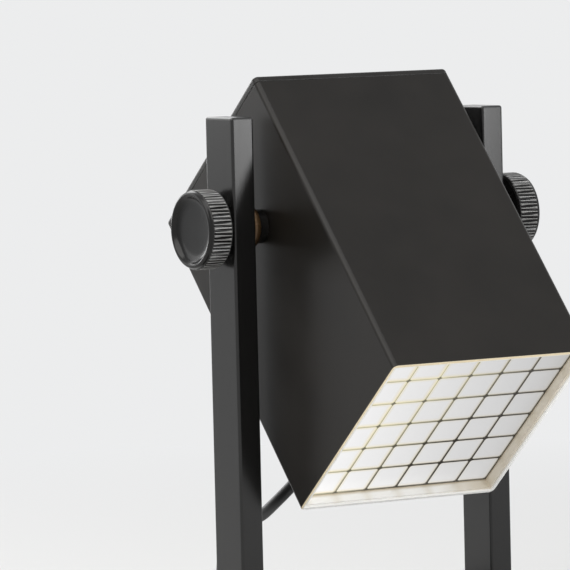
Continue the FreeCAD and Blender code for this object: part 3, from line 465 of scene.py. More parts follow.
def warmGlowSides(tree, parts):
    # 1 over the outer edge of the opening's left and upper sides, where the painted warm glow goes
    edge = head["width"] / 2 - head["wall"]
    left = ramp(tree, parts.outputs["X"], *[-edge - out for out in frontRim["leftWarmGlow"]])
    upper = ramp(tree, parts.outputs["Z"], *[edge + out for out in frontRim["upperWarmGlow"]])
    return arithmetic(tree, "MAXIMUM", left, upper)


def makeRearCover():
    shape = bmesh.new()
    middle = Vector((0, head["rear"] - rearCover["thick"] / 2, headMiddle))
    corners = addBlock(shape, (head["width"], rearCover["thick"], head["height"]), middle)
    roundEdges(shape, edgesAlong(corners, 1), head["edge"], head["edgeSteps"])
    roundEdges(shape, edgesAt(shape, 1, head["rear"]), rearCover["edge"], 4)
    cover = makePiece("rearCover", shape)
    slots = bmesh.new()
    for row in range(rearCover["vents"]):
        height = headMiddle + (row - (rearCover["vents"] - 1) / 2) * rearCover["ventPitch"]
        ends = addBlock(slots, (rearCover["ventLength"], 3 * rearCover["thick"], rearCover["ventWidth"]),
                        (0, middle.y, height))
        roundEdges(slots, edgesAlong(ends, 1), rearCover["ventWidth"] * 0.49, 5)
    for hole in coverScrewPlaces():
        addRod(slots, rearCover["screwHole"], hole - Vector((0, 2 * rearCover["thick"], 0)),
               hole + Vector((0, rearCover["thick"], 0)), 32)
    carve(cover, slots)
    dress(cover, coatFinish("cover coat", coverCoat), "head", ["rear_cover"], headPlace,
          soften=rearCover["soften"])


def coverScrewPlaces():
    half = head["width"] / 2 - head["wall"] - rearCover["cornerBlock"] / 2
    return [Vector((sideX * half, head["rear"], headMiddle + sideZ * half))
            for sideX in (-1, 1) for sideZ in (-1, 1)]


# screws of the rear cover and the bottom cover
panScrew = {
    # (along, radius) in mm from the tip of the shank to the top of the head
    "profile": [(-9.5, 0), (-9.5, 1.1), (-9.1, 1.5), (0, 1.5), (0, 2.7), (0.08, 2.75), (0.65, 2.75),
                (0.95, 2.5), (1.13, 2.1), (1.2, 1.7), (1.2, 0)],
    "headRadius": 2.75 * mm,
    "socket": 1.9 * mm,
    "socketDepth": 0.8 * mm,
    "headHeight": 1.2 * mm,
}
darkSteel = {
    "dark": (0.035, 0.034, 0.033, 1),
    "light": (0.070, 0.068, 0.066, 1),
    "edge": (0.22, 0.22, 0.21, 1),
    "ringScale": 900.0,
    "roughness": (0.30, 0.45),
    "specular": 0.5,
    "metallic": 0.8,
    "edgeWidth": 0.25 * mm,
    "wear": 0.6,
    "relief": 0.2,
}


def makeScrews(name, places, outward, finish, body, node, placeAll=None):
    blank = bmesh.new()
    addTurned(blank, panScrew["profile"], 32)
    pattern = makePiece("screwPattern", blank)
    socket = bmesh.new()
    top = panScrew["headHeight"]
    addRod(socket, panScrew["socket"] * 2 / math.sqrt(3), Vector((top - panScrew["socketDepth"], 0, 0)),
           Vector((top + panScrew["headHeight"], 0, 0)), 6)
    carve(pattern, socket)
    shape = bmesh.new()
    turn = Vector((1, 0, 0)).rotation_difference(outward).to_matrix().to_4x4()
    for place in places:
        old = set(shape.verts)
        shape.from_mesh(pattern.data)
        fresh = [vert for vert in shape.verts if vert not in old]
        bmesh.ops.transform(shape, matrix=Matrix.Translation(place) @ turn, verts=fresh)
    bpy.data.meshes.remove(pattern.data)
    return dress(makePiece(name, shape), finish, body, [node], placeAll)


# knobs and pivot hardware
knob = {
    # (along, radius) in mm from the back of the neck
    "profile": [(9.7, 0), (9.7, 3.03), (0.2, 3.03), (0, 3.2), (0, 8.3), (0.2, 8.5), (1.5, 8.5), (1.5, 15.2),
                (1.8, 15.65), (2.2, 16.0), (2.9, 16.0), (10.3, 16.0), (10.9, 16.0), (11.2, 15.7),
                (11.55, 15.6), (11.9, 15.5), (12.2, 15.3), (12.4, 15.0), (12.48, 14.7), (12.5, 14.45),
                (12.46, 14.2), (12.34, 13.95), (12.12, 13.7), (11.8, 13.42), (11.4, 13.1), (11.02, 12.75),
                (10.74, 12.3), (10.52, 11.75), (10.35, 11.1), (10.25, 10.3), (10.19, 9.2), (10.13, 7.2),
                (10.09, 5.0), (10.06, 2.5), (10.05, 0)],
    "teeth": 64,
    "stepsPerTooth": 6,
    "crest": 16.2 * mm,
    "root": 15.66 * mm,
    "knurlFrom": 2.6 * mm,
    "knurlTo": 10.6 * mm,
    "knurlMargin": 0.6 * mm,
    "grooveShade": (15.85 * mm, 15.68 * mm),
    "crestShade": (16.0 * mm, 16.18 * mm),
    "back": 68.55 * mm,      # from the lamp's centre
}
knobMetal = {
    "dark": (0.005, 0.0048, 0.0046, 1),
    "light": (0.010, 0.0097, 0.0094, 1),
    "edge": (0.16, 0.158, 0.155, 1),
    "ringScale": 520.0,
    "roughness": (0.17, 0.25),
    "specular": 0.26,
    "metallic": 0.05,
    "wear": 0.45,
    "edgeWidth": 0.22 * mm,
    "relief": 0.12,
    # painted shade in the knurl's grooves; crests lighter as rubbed metal and painted highlight
    "groove": (0.004, 0.004, 0.004, 1),
    "crest": (0.30, 0.297, 0.29, 1),
}
washerMetal = dict(knobMetal, dark=(0.018, 0.018, 0.018, 1), light=(0.035, 0.035, 0.034, 1))
agedBronze = {
    "dark": (0.060, 0.032, 0.013, 1),
    "light": (0.130, 0.072, 0.030, 1),
    "edge": (0.34, 0.21, 0.10, 1),
    "ringScale": 700.0,
    "roughness": (0.20, 0.30),
    "specular": 0.6,
    "metallic": 0.55,
    "edgeWidth": 0.25 * mm,
    "wear": 0.15,
    "relief": 0.15,
}
brass = dict(agedBronze, dark=(0.42, 0.27, 0.085, 1), light=(0.62, 0.42, 0.16, 1), metallic=1.0)
spacerMetal = dict(knobMetal, dark=(0.009, 0.0085, 0.008, 1), light=(0.015, 0.014, 0.013, 1), wear=0.3)


def crownedRim(start, end, radius, drop, steps=8):
    # (along, radius) in mm over a rounded rim
    middle, half = (start + end) / 2, (end - start) / 2
    turns = [step * math.pi / steps for step in range(steps + 1)]
    return [(middle - half * math.cos(turn), radius - drop + drop * math.sin(turn)) for turn in turns]


def plainRim(start, end, radius, chamfer):
    low = radius - chamfer
    return [(start, low), (start + chamfer, radius), (end - chamfer, radius), (end, low)]


# rings beside each post, in mm out from the lamp's centre
pivotRings = {
    "knob_washer": {"name": "KnobWasher", "bore": 3.03, "rim": plainRim(66.55, 68.55, 10.0, 0.25)},
    "friction_washer": {"name": "FrictionWasher", "bore": 3.06, "rim": crownedRim(52.45, 55.95, 9.5, 1.1)},
    "spacer": {"name": "Spacer", "bore": 3.06, "rim": plainRim(47.5, 52.45, 7.0, 0.35)},
}
boreEdge = 0.25    # chamfer at both ends of a ring's bore, mm


def sidePlace(side, along):
    # +X of a turned piece points outwards from the lamp's centre
    turn = Matrix.Rotation(0 if side > 0 else math.pi, 4, "Z")
    return Matrix.Translation((0, 0, pivot.z)) @ turn @ Matrix.Translation((along, 0, 0))


def makeKnob(side, word):
    steps = knob["teeth"] * knob["stepsPerTooth"]
    middle = (knob["knurlFrom"] + knob["knurlTo"]) / 2
    shape = bmesh.new()
    addTurned(shape, knob["profile"], steps)
    for vert in shape.verts:
        radius = math.hypot(vert.co.y, vert.co.z)
        if knob["knurlFrom"] < vert.co.x < knob["knurlTo"] and radius > knob["root"]:
            tooth, step = divmod(round(math.atan2(vert.co.y, vert.co.z) / math.tau * steps),
                                 knob["stepsPerTooth"])
            narrowEnd = (tooth % 2 == 0) == (vert.co.x > middle)
            crests = (1, 2) if narrowEnd else (0, 1, 2, 3)
            wanted = knob["crest"] if step in crests else knob["root"]
            vert.co.y *= wanted / radius
            vert.co.z *= wanted / radius
    piece = makePiece(word + "ClampKnob", shape)
    finish = turnedFinish(word + " knob metal", knobMetal, pivot, (0, 0, 0), knurl=True)
    dress(piece, finish, word + "_knob", [word + "_clamp_knob"], sidePlace(side, knob["back"]),
          smooth=28)


def makePivotRings(side, word, finishes):
    for node, ring in pivotRings.items():
        bore = ring["bore"]
        start, end = ring["rim"][0][0], ring["rim"][-1][0]
        inside = [(end, bore + boreEdge), (end - boreEdge, bore),
                  (start + boreEdge, bore), (start, bore + boreEdge)]
        shape = bmesh.new()
        addTurned(shape, ring["rim"] + inside, 64, ring=True)
        piece = makePiece(word + ring["name"], shape)
        finish, slot, body = finishes[node]
        dress(piece, finish, body.replace("side", word), [word + "_" + node], sidePlace(side, 0),
              smooth=30)


# posts
post = {"bevel": 1.1 * mm, "steps": 5, "hole": 6.12 * mm}
postMetal = {
    "dark": (0.0072, 0.0070, 0.0067, 1),
    "light": (0.0092, 0.0089, 0.0085, 1),
    "edge": (0.20, 0.20, 0.195, 1),
    "stretch": (1.0, 1.0, 0.03),
    "streakScale": 1500.0,
    "roughness": (0.195, 0.225),
    "specular": 0.42,
    "edgeWidth": 0.5 * mm,
    "wear": 0.45,
    "relief": 0.02,
}


def makePost(word, finish):
    low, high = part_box(word + "_post")
    shape = bmesh.new()
    corners = addBlock(shape, high - low, (low + high) / 2)
    roundEdges(shape, edgesAlong(corners, 2) + edgesAt(shape, 2, high.z), post["bevel"], post["steps"])
    piece = makePiece(word + "Post", shape)
    hole = bmesh.new()
    addRod(hole, post["hole"], Vector((low.x - mm, 0, pivot.z)), Vector((high.x + mm, 0, pivot.z)))
    carve(piece, hole)
    dress(piece, finish, "stand", [word + "_post"])


# base
base = {
    "corner": 5.0 * mm,
    "topEdge": 0.8 * mm,
    "soften": 0.15 * mm,
    "wall": 3.0 * mm,
    "switchHole": 16.2 * mm,
    "glandHole": 8.2 * mm,
    "inletHole": 9.2 * mm,
    "gland": (-53.0 * mm, 28.0 * mm),
}
baseLow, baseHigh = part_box("base_housing")
baseCoat = dict(casingCoat, dark=(0.0120, 0.0112, 0.0105, 1), light=(0.0185, 0.0175, 0.0160, 1),
                grainScale=1900.0, relief=0.16)


def bottomScrewPlaces():
    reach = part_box("cover_screws")[1] - Vector((1, 1, 0)) * panScrew["headRadius"]
    return [Vector((sideX * reach.x, sideY * reach.y, baseLow.z))
            for sideX in (-1, 1) for sideY in (-1, 1)]


def makeBase():
    size, middle, top = baseHigh - baseLow, (baseLow + baseHigh) / 2, baseHigh.z
    shape = bmesh.new()
    corners = addBlock(shape, size, middle)
    roundEdges(shape, edgesAlong(corners, 2), base["corner"], 10)
    roundEdges(shape, edgesAt(shape, 2, top), base["topEdge"], 3)
    housing = makePiece("baseHousing", shape)
    wall = base["wall"]
    room = bmesh.new()
    inner = addBlock(room, (size.x - 2 * wall, size.y - 2 * wall, size.z), (0, 0, middle.z - wall))
    roundEdges(room, edgesAlong(inner, 2), base["corner"] - wall, 6)
    carve(housing, room)
    holes = bmesh.new()
    switchLow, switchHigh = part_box("switch_body")
    switchMiddle = (switchLow + switchHigh) / 2
    for x, y, diameter in ((*switchMiddle.xy, base["switchHole"]), (*base["gland"], base["glandHole"])):
        addRod(holes, diameter, Vector((x, y, top - 2 * wall)), Vector((x, y, top + wall)))
    inletLow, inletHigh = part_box("power_inlet")
    inletMiddle = (inletLow + inletHigh) / 2
    addRod(holes, base["inletHole"], Vector((inletMiddle.x, baseHigh.y - 2 * wall, inletMiddle.z)),
           Vector((inletMiddle.x, baseHigh.y + wall, inletMiddle.z)))
    carve(housing, holes)
    dress(housing, coatFinish("base coat", baseCoat), "stand", ["base_housing"],
          soften=base["soften"])


# push switch
pushSwitch = {
    # (height over the base top, radius) in mm
    "bezel": [(-15, 0), (-15, 7.6), (-14.6, 8.0), (0, 8.0), (0, 9.8), (0.2, 10.0), (1.25, 10.0), (1.6, 9.9),
              (1.8, 9.55), (1.8, 7.3), (1.62, 6.9), (1.62, 6.1), (1.5, 5.86), (-8.4, 5.86), (-8.4, 0)],
    "button": [(-6.3, 0), (-6.3, 1.8), (-6.1, 2.0), (-0.8, 2.0), (-0.8, 5.6), (-0.6, 5.8), (3.5, 5.8),
               (3.85, 5.7), (4.1, 5.45), (4.2, 5.1), (4.2, 4.7), (4.1, 4.2), (3.95, 3.0), (3.88, 1.6),
               (3.86, 0)],
}
bezelMetal = dict(knobMetal, dark=(0.10, 0.10, 0.10, 1), light=(0.16, 0.16, 0.157, 1), metallic=0.9,
                  roughness=(0.24, 0.34), relief=0.3)
buttonPlastic = {
    "dark": (0.020, 0.020, 0.020, 1),
    "light": (0.030, 0.030, 0.029, 1),
    "grainScale": 2400.0,
    "roughness": (0.35, 0.5),
    "specular": 0.4,
    "relief": 0.15,
}


def makeSwitch():
    low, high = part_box("switch_body")
    centre = Vector(((low.x + high.x) / 2, (low.y + high.y) / 2, baseHigh.z))
    upright = Matrix.Translation(centre) @ Matrix.Rotation(math.radians(-90), 4, "Y")
    shape = bmesh.new()
    addTurned(shape, pushSwitch["bezel"], 64)
    bezelFinish = turnedFinish("bezel metal", bezelMetal, centre, (0, math.radians(90), 0))
    dress(makePiece("switchBezel", shape), bezelFinish, "stand", ["switch_body"], upright,
          smooth=25)
    shape = bmesh.new()
    addTurned(shape, pushSwitch["button"], 64)
    dress(makePiece("switchButton", shape), mouldedFinish("button plastic", buttonPlastic), "button",
          ["switch_button"], upright, smooth=25)


# return spring under the button
spring = {
    "wire": 0.7 * mm,
    "turns": 4,
    "stepsPerTurn": 24,
    "wireSides": 10,
}
cleanSteel = {
    "dark": (0.40, 0.40, 0.40, 1),
    "light": (0.52, 0.52, 0.53, 1),
    "edge": (0.65, 0.65, 0.65, 1),
    "stretch": (0.08, 1.0, 1.0),
    "streakScale": 900.0,
    "roughness": (0.30, 0.45),
    "specular": 0.5,
    "metallic": 1.0,
    "edgeWidth": 0.5 * mm,
    "wear": 0.4,
    "relief": 0.15,
}


def makeSpring(finish):
    low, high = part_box("switch_spring")
    wire = spring["wire"]
    centre = (low + high) / 2
    coilRadius = (high.x - low.x - wire) / 2
    bottom, top = low.z + wire / 2, high.z - wire / 2
    steps = spring["turns"] * spring["stepsPerTurn"]
    shape = bmesh.new()
    foot = Vector((centre.x, centre.y, bottom))
    start = Matrix.Translation(foot + Vector((coilRadius, 0, 0))) @ Matrix.Rotation(math.radians(90), 4, "X")
    bmesh.ops.create_circle(shape, segments=spring["wireSides"], radius=wire / 2, matrix=start)
    bmesh.ops.spin(shape, geom=shape.verts[:] + shape.edges[:], cent=foot, axis=(0, 0, 1),
                   dvec=(0, 0, (top - bottom) / steps), angle=spring["turns"] * math.tau, steps=steps,
                   use_merge=False, use_duplicate=False)
    bmesh.ops.holes_fill(shape, edges=[edge for edge in shape.edges if edge.is_boundary], sides=0)
    piece = makePiece("switchSpring", shape)
    piece.data.materials.append(finish)
    piece.data.shade_smooth()
    piece.data.set_sharp_from_angle(angle=math.radians(50))
    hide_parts("switch_spring")
    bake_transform(piece)


# glands, lead and inlet
gland = {
    # (along, radius) in mm, outwards from the wall
    "profile": [(-6, 2.55), (-6, 3.8), (-5.8, 4.0), (0, 4.0), (0, 6.3), (0.2, 6.5), (1.6, 6.5), (2.0, 6.1),
                (2.0, 4.75), (2.25, 4.5), (3.1, 4.5), (3.3, 4.0), (3.9, 4.0), (4.1, 4.45), (4.9, 4.4),
                (5.1, 3.9), (5.7, 3.9), (5.9, 4.3), (6.7, 4.25), (6.9, 3.75), (7.5, 3.75), (7.7, 4.15),
                (8.9, 4.0), (9.6, 3.6), (10.0, 3.0), (10.0, 2.6), (9.8, 2.55)],
    "steps": 48,
}
glandPlastic = {
    "dark": (0.012, 0.012, 0.012, 1),
    "light": (0.020, 0.020, 0.020, 1),
    "grainScale": 2200.0,
    "roughness": (0.42, 0.6),
    "specular": 0.4,
    "relief": 0.2,
}
lead = {
    "diameter": 5.0 * mm,
    "leavesHead": 24.5 * mm,         # below the head's underside, square to it
    "intoHead": 6.0 * mm,
    "slack": [(18.0, 50.0, 97.0), (13.0, 56.0, 83.5), (4.0, 58.5, 73.0), (-8.0, 56.5, 65.0),
              (-20.0, 50.5, 60.0), (-33.0, 43.5, 60.5), (-46.0, 35.0, 56.5)],
    "entersBase": 18.0 * mm,         # above the base top
    "intoBase": 6.0 * mm,
}
leadRubber = {
    "dark": (0.010, 0.010, 0.010, 1),
    "light": (0.017, 0.0165, 0.016, 1),
    "grainScale": 1400.0,
    "roughness": (0.34, 0.46),
    "specular": 0.5,
    "relief": 0.12,
}
inlet = {
    # (outwards from the wall, radius) in mm
    "shell": [(-17, 0), (-17, 4.3), (-16.8, 4.5), (0, 4.5), (0, 5.8), (0.2, 6.0), (1.1, 6.0), (1.4, 5.85),
              (1.5, 5.6), (1.5, 3.1), (1.2, 2.8), (-8.0, 2.8), (-8.0, 0)],
    "pin": [(-8.0, 0), (-8.0, 1.05), (-0.5, 1.05), (-0.1, 0.85), (0, 0.5), (0, 0)],
}


def makeGlands(finish):
    downwards = Matrix.Rotation(math.radians(90), 4, "Y")
    upwards = Matrix.Rotation(math.radians(-90), 4, "Y")
    glandX, glandY = head["gland"]
    headSeat = headPlace @ Matrix.Translation((glandX, glandY, headBottom)) @ downwards
    baseSeat = Matrix.Translation((*base["gland"], baseHigh.z)) @ upwards
    for name, node, body, seat in (("headGland", "head_gland", "head", headSeat),
                                   ("baseGland", "base_gland", "stand", baseSeat)):
        shape = bmesh.new()
        addTurned(shape, gland["profile"], gland["steps"], ring=True)
        dress(makePiece(name, shape), finish, body, [node], seat, smooth=25)


def leadRoute():
    glandX, glandY = head["gland"]
    inHead = headPlace @ Vector((glandX, glandY, headBottom + lead["intoHead"]))
    leavesHead = headPlace @ Vector((glandX, glandY, headBottom - lead["leavesHead"]))
    slack = [Vector(point) * mm for point in lead["slack"]]
    entersBase = Vector((*base["gland"], baseHigh.z + lead["entersBase"]))
    inBase = Vector((*base["gland"], baseHigh.z - lead["intoBase"]))
    return [inHead, leavesHead] + slack + [entersBase, inBase]


def makeLead():
    route = leadRoute()
    curve = bpy.data.curves.new("supplyLeadLine", "CURVE")
    curve.dimensions = "3D"
    curve.resolution_u = 16
    curve.bevel_depth = lead["diameter"] / 2
    curve.bevel_resolution = 7
    curve.use_fill_caps = True
    spline = curve.splines.new("NURBS")
    spline.points.add(len(route) - 1)
    for control, place in zip(spline.points, route):
        control.co = (place.x, place.y, place.z, 1)
    spline.order_u = 3
    spline.use_endpoint_u = True
    line = bpy.data.objects.new("supplyLeadLine", curve)
    bpy.context.scene.collection.objects.link(line)
    bpy.context.view_layer.update()
    evaluated = line.evaluated_get(bpy.context.evaluated_depsgraph_get())
    mesh = bpy.data.meshes.new_from_object(evaluated)
    mesh.name = "supplyLead"
    bpy.data.objects.remove(line)
    piece = bpy.data.objects.new("supplyLead", mesh)
    bpy.context.scene.collection.objects.link(piece)
    mesh.materials.clear()
    mesh.materials.append(mouldedFinish("lead rubber", leadRubber))
    mesh.shade_smooth()
    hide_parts("supply_lead")
    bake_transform(piece)


def makeInlet():
    low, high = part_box("power_inlet")
    middle = Vector(((low.x + high.x) / 2, baseHigh.y, (low.z + high.z) / 2))
    seat = Matrix.Translation(middle) @ Matrix.Rotation(math.radians(90), 4, "Z")
    shape = bmesh.new()
    addTurned(shape, inlet["shell"], 48, seat)
    addTurned(shape, inlet["pin"], 24, seat)
    dress(makePiece("powerInlet", shape), mouldedFinish("inlet plastic", buttonPlastic), "stand",
          ["power_inlet"], smooth=25)


# light panel, finished on the frame's own nodes
panel = {
    "pitch": 14.88 * mm,
    "glow": 0.67,
    "glowPerCell": (-0.060, -0.025),     # dims to the right and upwards
    "cell": (0.93, 0.925, 0.925, 1),
    # a painted warm halo at each cell's edge, beside the bars
    "cellEdge": (0.90, 0.80, 0.56, 1),
    "cellCloud": (0.88, 0.885, 0.90, 1),
    "cloudShare": 0.25,
    "warmSides": (-0.5, 0.3),            # head widths from the middle to the right
    "warmth": (1.0, 0.35),               # of the cells' edges at these two places
    "unlit": (0.16, 0.16, 0.16, 1),
    "edgeWidth": 2.2 * mm,
    # the bars: dark bronze, with a painted glow for the panel's light on them
    "bar": (0.020, 0.018, 0.015, 1),
    "barLitPerCell": (-0.30, 0.135),     # share of the panel's light that a bar picks up
    "barLitMiddle": 0.45,
    "core": ((0.016, 0.013, 0.010, 1), (0.42, 0.40, 0.27, 1)),
    "fringe": ((0.28, 0.26, 0.21, 1), (0.78, 0.72, 0.51, 1)),
    "coreHalf": (0.40 * mm, 0.18 * mm),
    "coreSoftness": 0.05 * mm,
    "crossing": (1.5 * mm, 0.7 * mm),    # from the crossing bar's middle line
    "crossingGrowth": 0.30 * mm,
    "crossingShade": 0.6,
    "barContrast": 1.5,
    # the liner: painted reflections of the cells, painted shade deep by the panel and on the right, and a
    # faint painted glow
    "liner": (0.84, 0.81, 0.74, 1),
    "linerLight": (0.93, 0.925, 0.90, 1),
    "linerShade": (0.60, 0.50, 0.34, 1),
    "shadeDepth": (3.4 * mm, 4.8 * mm),    # behind the front edge
    "shadeShare": 0.85,
    "rightShade": (0.2, 0.4),              # head widths from the middle to the right
    "rightShadeShare": 0.6,
    "blob": (0.02, 0.22),                # share of a cell from the bar beside it
    "blobShare": 0.8,
    "linerGlow": 0.12,
}


def levelHeadPoint(tree):
    # the head's own point as if it were level, centred on the panel
    centre = headPlace @ Vector((0, 0, headMiddle))
    return objectPoint(tree, centre=centre, turn=(math.radians(-head["tilt"]), 0, 0))


def cellShare(tree, along):
    # distance from the nearest bar, as a share of the cell pitch: 0 at a bar, 0.5 mid cell
    inCells = arithmetic(tree, "DIVIDE", along, panel["pitch"])
    share = arithmetic(tree, "FRACT", arithmetic(tree, "ADD", inCells, 10.0))
    return arithmetic(tree, "MINIMUM", share, arithmetic(tree, "SUBTRACT", 1.0, share))


def slopeOverCells(tree, parts, middle, gains):
    # a value that changes evenly from cell to cell, sideways and upwards
    value = middle
    for axis, gain in zip(("X", "Z"), gains):
        inCells = arithmetic(tree, "DIVIDE", parts.outputs[axis], panel["pitch"])
        value = arithmetic(tree, "ADD", arithmetic(tree, "MULTIPLY", inCells, gain), value)
    return value


def opalFinish():
    finish, tree, shader = newFinish("opal panel")
    parts = addNode(tree, "SeparateXYZ", {"Vector": levelHeadPoint(tree)})
    near = arithmetic(tree, "MINIMUM", *[cellShare(tree, parts.outputs[axis]) for axis in ("X", "Z")])
    inside = ramp(tree, near, 0.02, panel["edgeWidth"] / panel["pitch"])
    cloud = noise(tree, levelHeadPoint(tree), scale=60.0)
    # painted warm halo at the cells' edges, stronger on the left
    warmSides = [share * head["width"] for share in panel["warmSides"]]
    warmth = spread(tree, parts.outputs["X"], *warmSides, *panel["warmth"])
    warmEdge = arithmetic(tree, "MULTIPLY", warmth, arithmetic(tree, "SUBTRACT", 1.0, inside))
    tint = blendColours(tree, warmEdge, panel["cell"], panel["cellEdge"])
    cloudy = spread(tree, cloud, *noiseRange, 0.0, panel["cloudShare"])
    tint = blendColours(tree, cloudy, tint, panel["cellCloud"])
    glow = slopeOverCells(tree, parts, panel["glow"], panel["glowPerCell"])
    feed(tree, shader, {"Emission Color": tint, "Emission Strength": glow, "Base Color": panel["unlit"],
                        "Roughness": 0.4, "Specular IOR Level": 0.3})
    return finish


def barWithPaintedGlow():
    # dark bronze bars under a painted glow: pale edges, brighter towards the upper left, darkest where they
    # cross
    finish, tree, shader = newFinish("bar bronze with painted glow")
    point = levelHeadPoint(tree)
    parts = addNode(tree, "SeparateXYZ", {"Vector": point})
    slope = slopeOverCells(tree, parts, panel["barLitMiddle"], panel["barLitPerCell"])
    lit = arithmetic(tree, "POWER", ramp(tree, slope, 0.0, 1.0), panel["barContrast"])
    cloud = noise(tree, point, scale=110.0, detail=3.0, roughness=0.6)
    lit = arithmetic(tree, "MULTIPLY", lit, spread(tree, cloud, *noiseRange, 0.85, 1.0))
    across, up = [arithmetic(tree, "MULTIPLY", cellShare(tree, parts.outputs[axis]), panel["pitch"])
                  for axis in ("X", "Z")]
    crossing = ramp(tree, arithmetic(tree, "MAXIMUM", across, up), *panel["crossing"])
    wide, narrow = panel["coreHalf"]
    half = arithmetic(tree, "ADD", spread(tree, lit, 0.0, 1.0, wide, narrow),
                      arithmetic(tree, "MULTIPLY", crossing, panel["crossingGrowth"]))
    fromCore = arithmetic(tree, "SUBTRACT", arithmetic(tree, "MINIMUM", across, up), half)
    core = ramp(tree, fromCore, panel["coreSoftness"], -panel["coreSoftness"])
    shade = arithmetic(tree, "MULTIPLY", crossing, panel["crossingShade"])
    coreColour = blendColours(tree, shade, blendColours(tree, lit, *panel["core"]), panel["core"][0])
    fringe = blendColours(tree, lit, *panel["fringe"])
    glow = blendColours(tree, core, fringe, coreColour)
    feed(tree, shader, {"Emission Color": glow, "Emission Strength": 1.0, "Base Color": panel["bar"],
                        "Roughness": 0.42, "Metallic": 0.2})
    return finish


def linerWithPaintedLight():
    # enamelled white with painted light: painted reflections of the lit cells as soft blobs, one to each cell
    # along the wall, painted shade deep by the panel and towards the right, a painted warm glow on the upper
    # and left edges and a faint painted glow
    finish, tree, shader = newFinish("liner white with painted light")
    point = levelHeadPoint(tree)
    parts = addNode(tree, "SeparateXYZ", {"Vector": point})
    blobs = arithmetic(tree, "MAXIMUM", *[cellShare(tree, parts.outputs[axis]) for axis in ("X", "Z")])
    cloud = noise(tree, point, scale=45.0, detail=3.0, roughness=0.55)
    lit = arithmetic(tree, "ADD", spread(tree, blobs, *panel["blob"], 0.0, panel["blobShare"]),
                     spread(tree, cloud, *noiseRange, 0.0, 1 - panel["blobShare"]))
    tint = blendColours(tree, lit, panel["liner"], panel["linerLight"])
    # painted shade deep by the panel and towards the right
    depths = [headFront + depth for depth in panel["shadeDepth"]]
    deep = spread(tree, parts.outputs["Y"], *depths, 0.0, panel["shadeShare"])
    sides = [share * head["width"] for share in panel["rightShade"]]
    right = spread(tree, parts.outputs["X"], *sides, 0.0, panel["rightShadeShare"])
    tint = blendColours(tree, arithmetic(tree, "MAXIMUM", deep, right), tint, panel["linerShade"])
    # painted warm glow over the opening's upper and left edges
    warmGlowEdge = arithmetic(tree, "MULTIPLY", behindLip(tree, parts, "liner"), warmGlowSides(tree, parts))
    tint = blendColours(tree, warmGlowEdge, tint, frontRim["warmGlowTint"])
    # the tint is also the liner's painted glow
    feed(tree, shader, {"Base Color": tint, "Emission Color": tint, "Emission Strength": panel["linerGlow"],
                        "Roughness": 0.16, "Specular IOR Level": 0.6})
    bump(tree, shader, noise(tree, point, scale=420.0), strength=0.06, distance=0.1 * mm)
    return finish


# pieces kept from the frame
castPlate = dict(cleanSteel, dark=(0.16, 0.16, 0.165, 1), light=(0.24, 0.24, 0.245, 1), roughness=(0.5, 0.65))
finAluminium = dict(cleanSteel, dark=(0.55, 0.56, 0.57, 1), light=(0.66, 0.67, 0.68, 1),
                    roughness=(0.35, 0.5))
padRubber = {
    "dark": (0.014, 0.014, 0.014, 1),
    "light": (0.024, 0.0235, 0.023, 1),
    "grainScale": 1100.0,
    "roughness": (0.7, 0.9),
    "specular": 0.25,
    "relief": 0.5,
}
boardWhite = {
    "dark": (0.60, 0.61, 0.60, 1),
    "light": (0.68, 0.69, 0.68, 1),
    "grainScale": 1800.0,
    "roughness": (0.45, 0.6),
    "specular": 0.4,
    "relief": 0.15,
}
boardGreen = dict(boardWhite, dark=(0.015, 0.085, 0.035, 1), light=(0.022, 0.11, 0.048, 1),
                  roughness=(0.25, 0.4))
chipYellow = dict(boardWhite, dark=(0.72, 0.55, 0.10, 1), light=(0.82, 0.66, 0.18, 1), roughness=(0.2, 0.35))


def finishFrameNodes():
    steel = brushedFinish("clean steel", cleanSteel)
    plate = brushedFinish("ballast steel", castPlate)
    fins = brushedFinish("fin aluminium", finAluminium)
    brassFinish = turnedFinish("standoff brass", brass, (0, 0, 0), (0, 0, 0))
    plastic = mouldedFinish("nut plastic", glandPlastic)
    finishes = {
        "ballast_plate": plate,
        "base_cover": coatFinish("bottom coat", baseCoat),
        "base_pad": mouldedFinish("pad rubber", padRubber),
        "post_screws": steel,
        "left_clamp_stud": steel,
        "right_clamp_stud": steel,
        "left_pivot_plate": steel,
        "right_pivot_plate": steel,
        "corner_blocks": fins,
        "white_liner": linerWithPaintedLight(),
        "opal_diffuser": opalFinish(),
        "cell_grille": barWithPaintedGlow(),
        "led_board": mouldedFinish("board white", boardWhite),
        "led_chips": mouldedFinish("chip yellow", chipYellow),
        "heat_sink": fins,
        "engine_brackets": fins,
        "engine_screws": steel,
        "terminal_block": mouldedFinish("terminal white", boardWhite),
        "head_gland_nut": plastic,
        "base_gland_nut": plastic,
        "switch_nut": steel,
        "inlet_nut": steel,
        "driver_standoffs": brassFinish,
        "driver_board": mouldedFinish("board green", boardGreen),
    }
    for name, finish in finishes.items():
        materials = cadNodes[name].data.materials
        materials.clear()
        materials.append(finish)


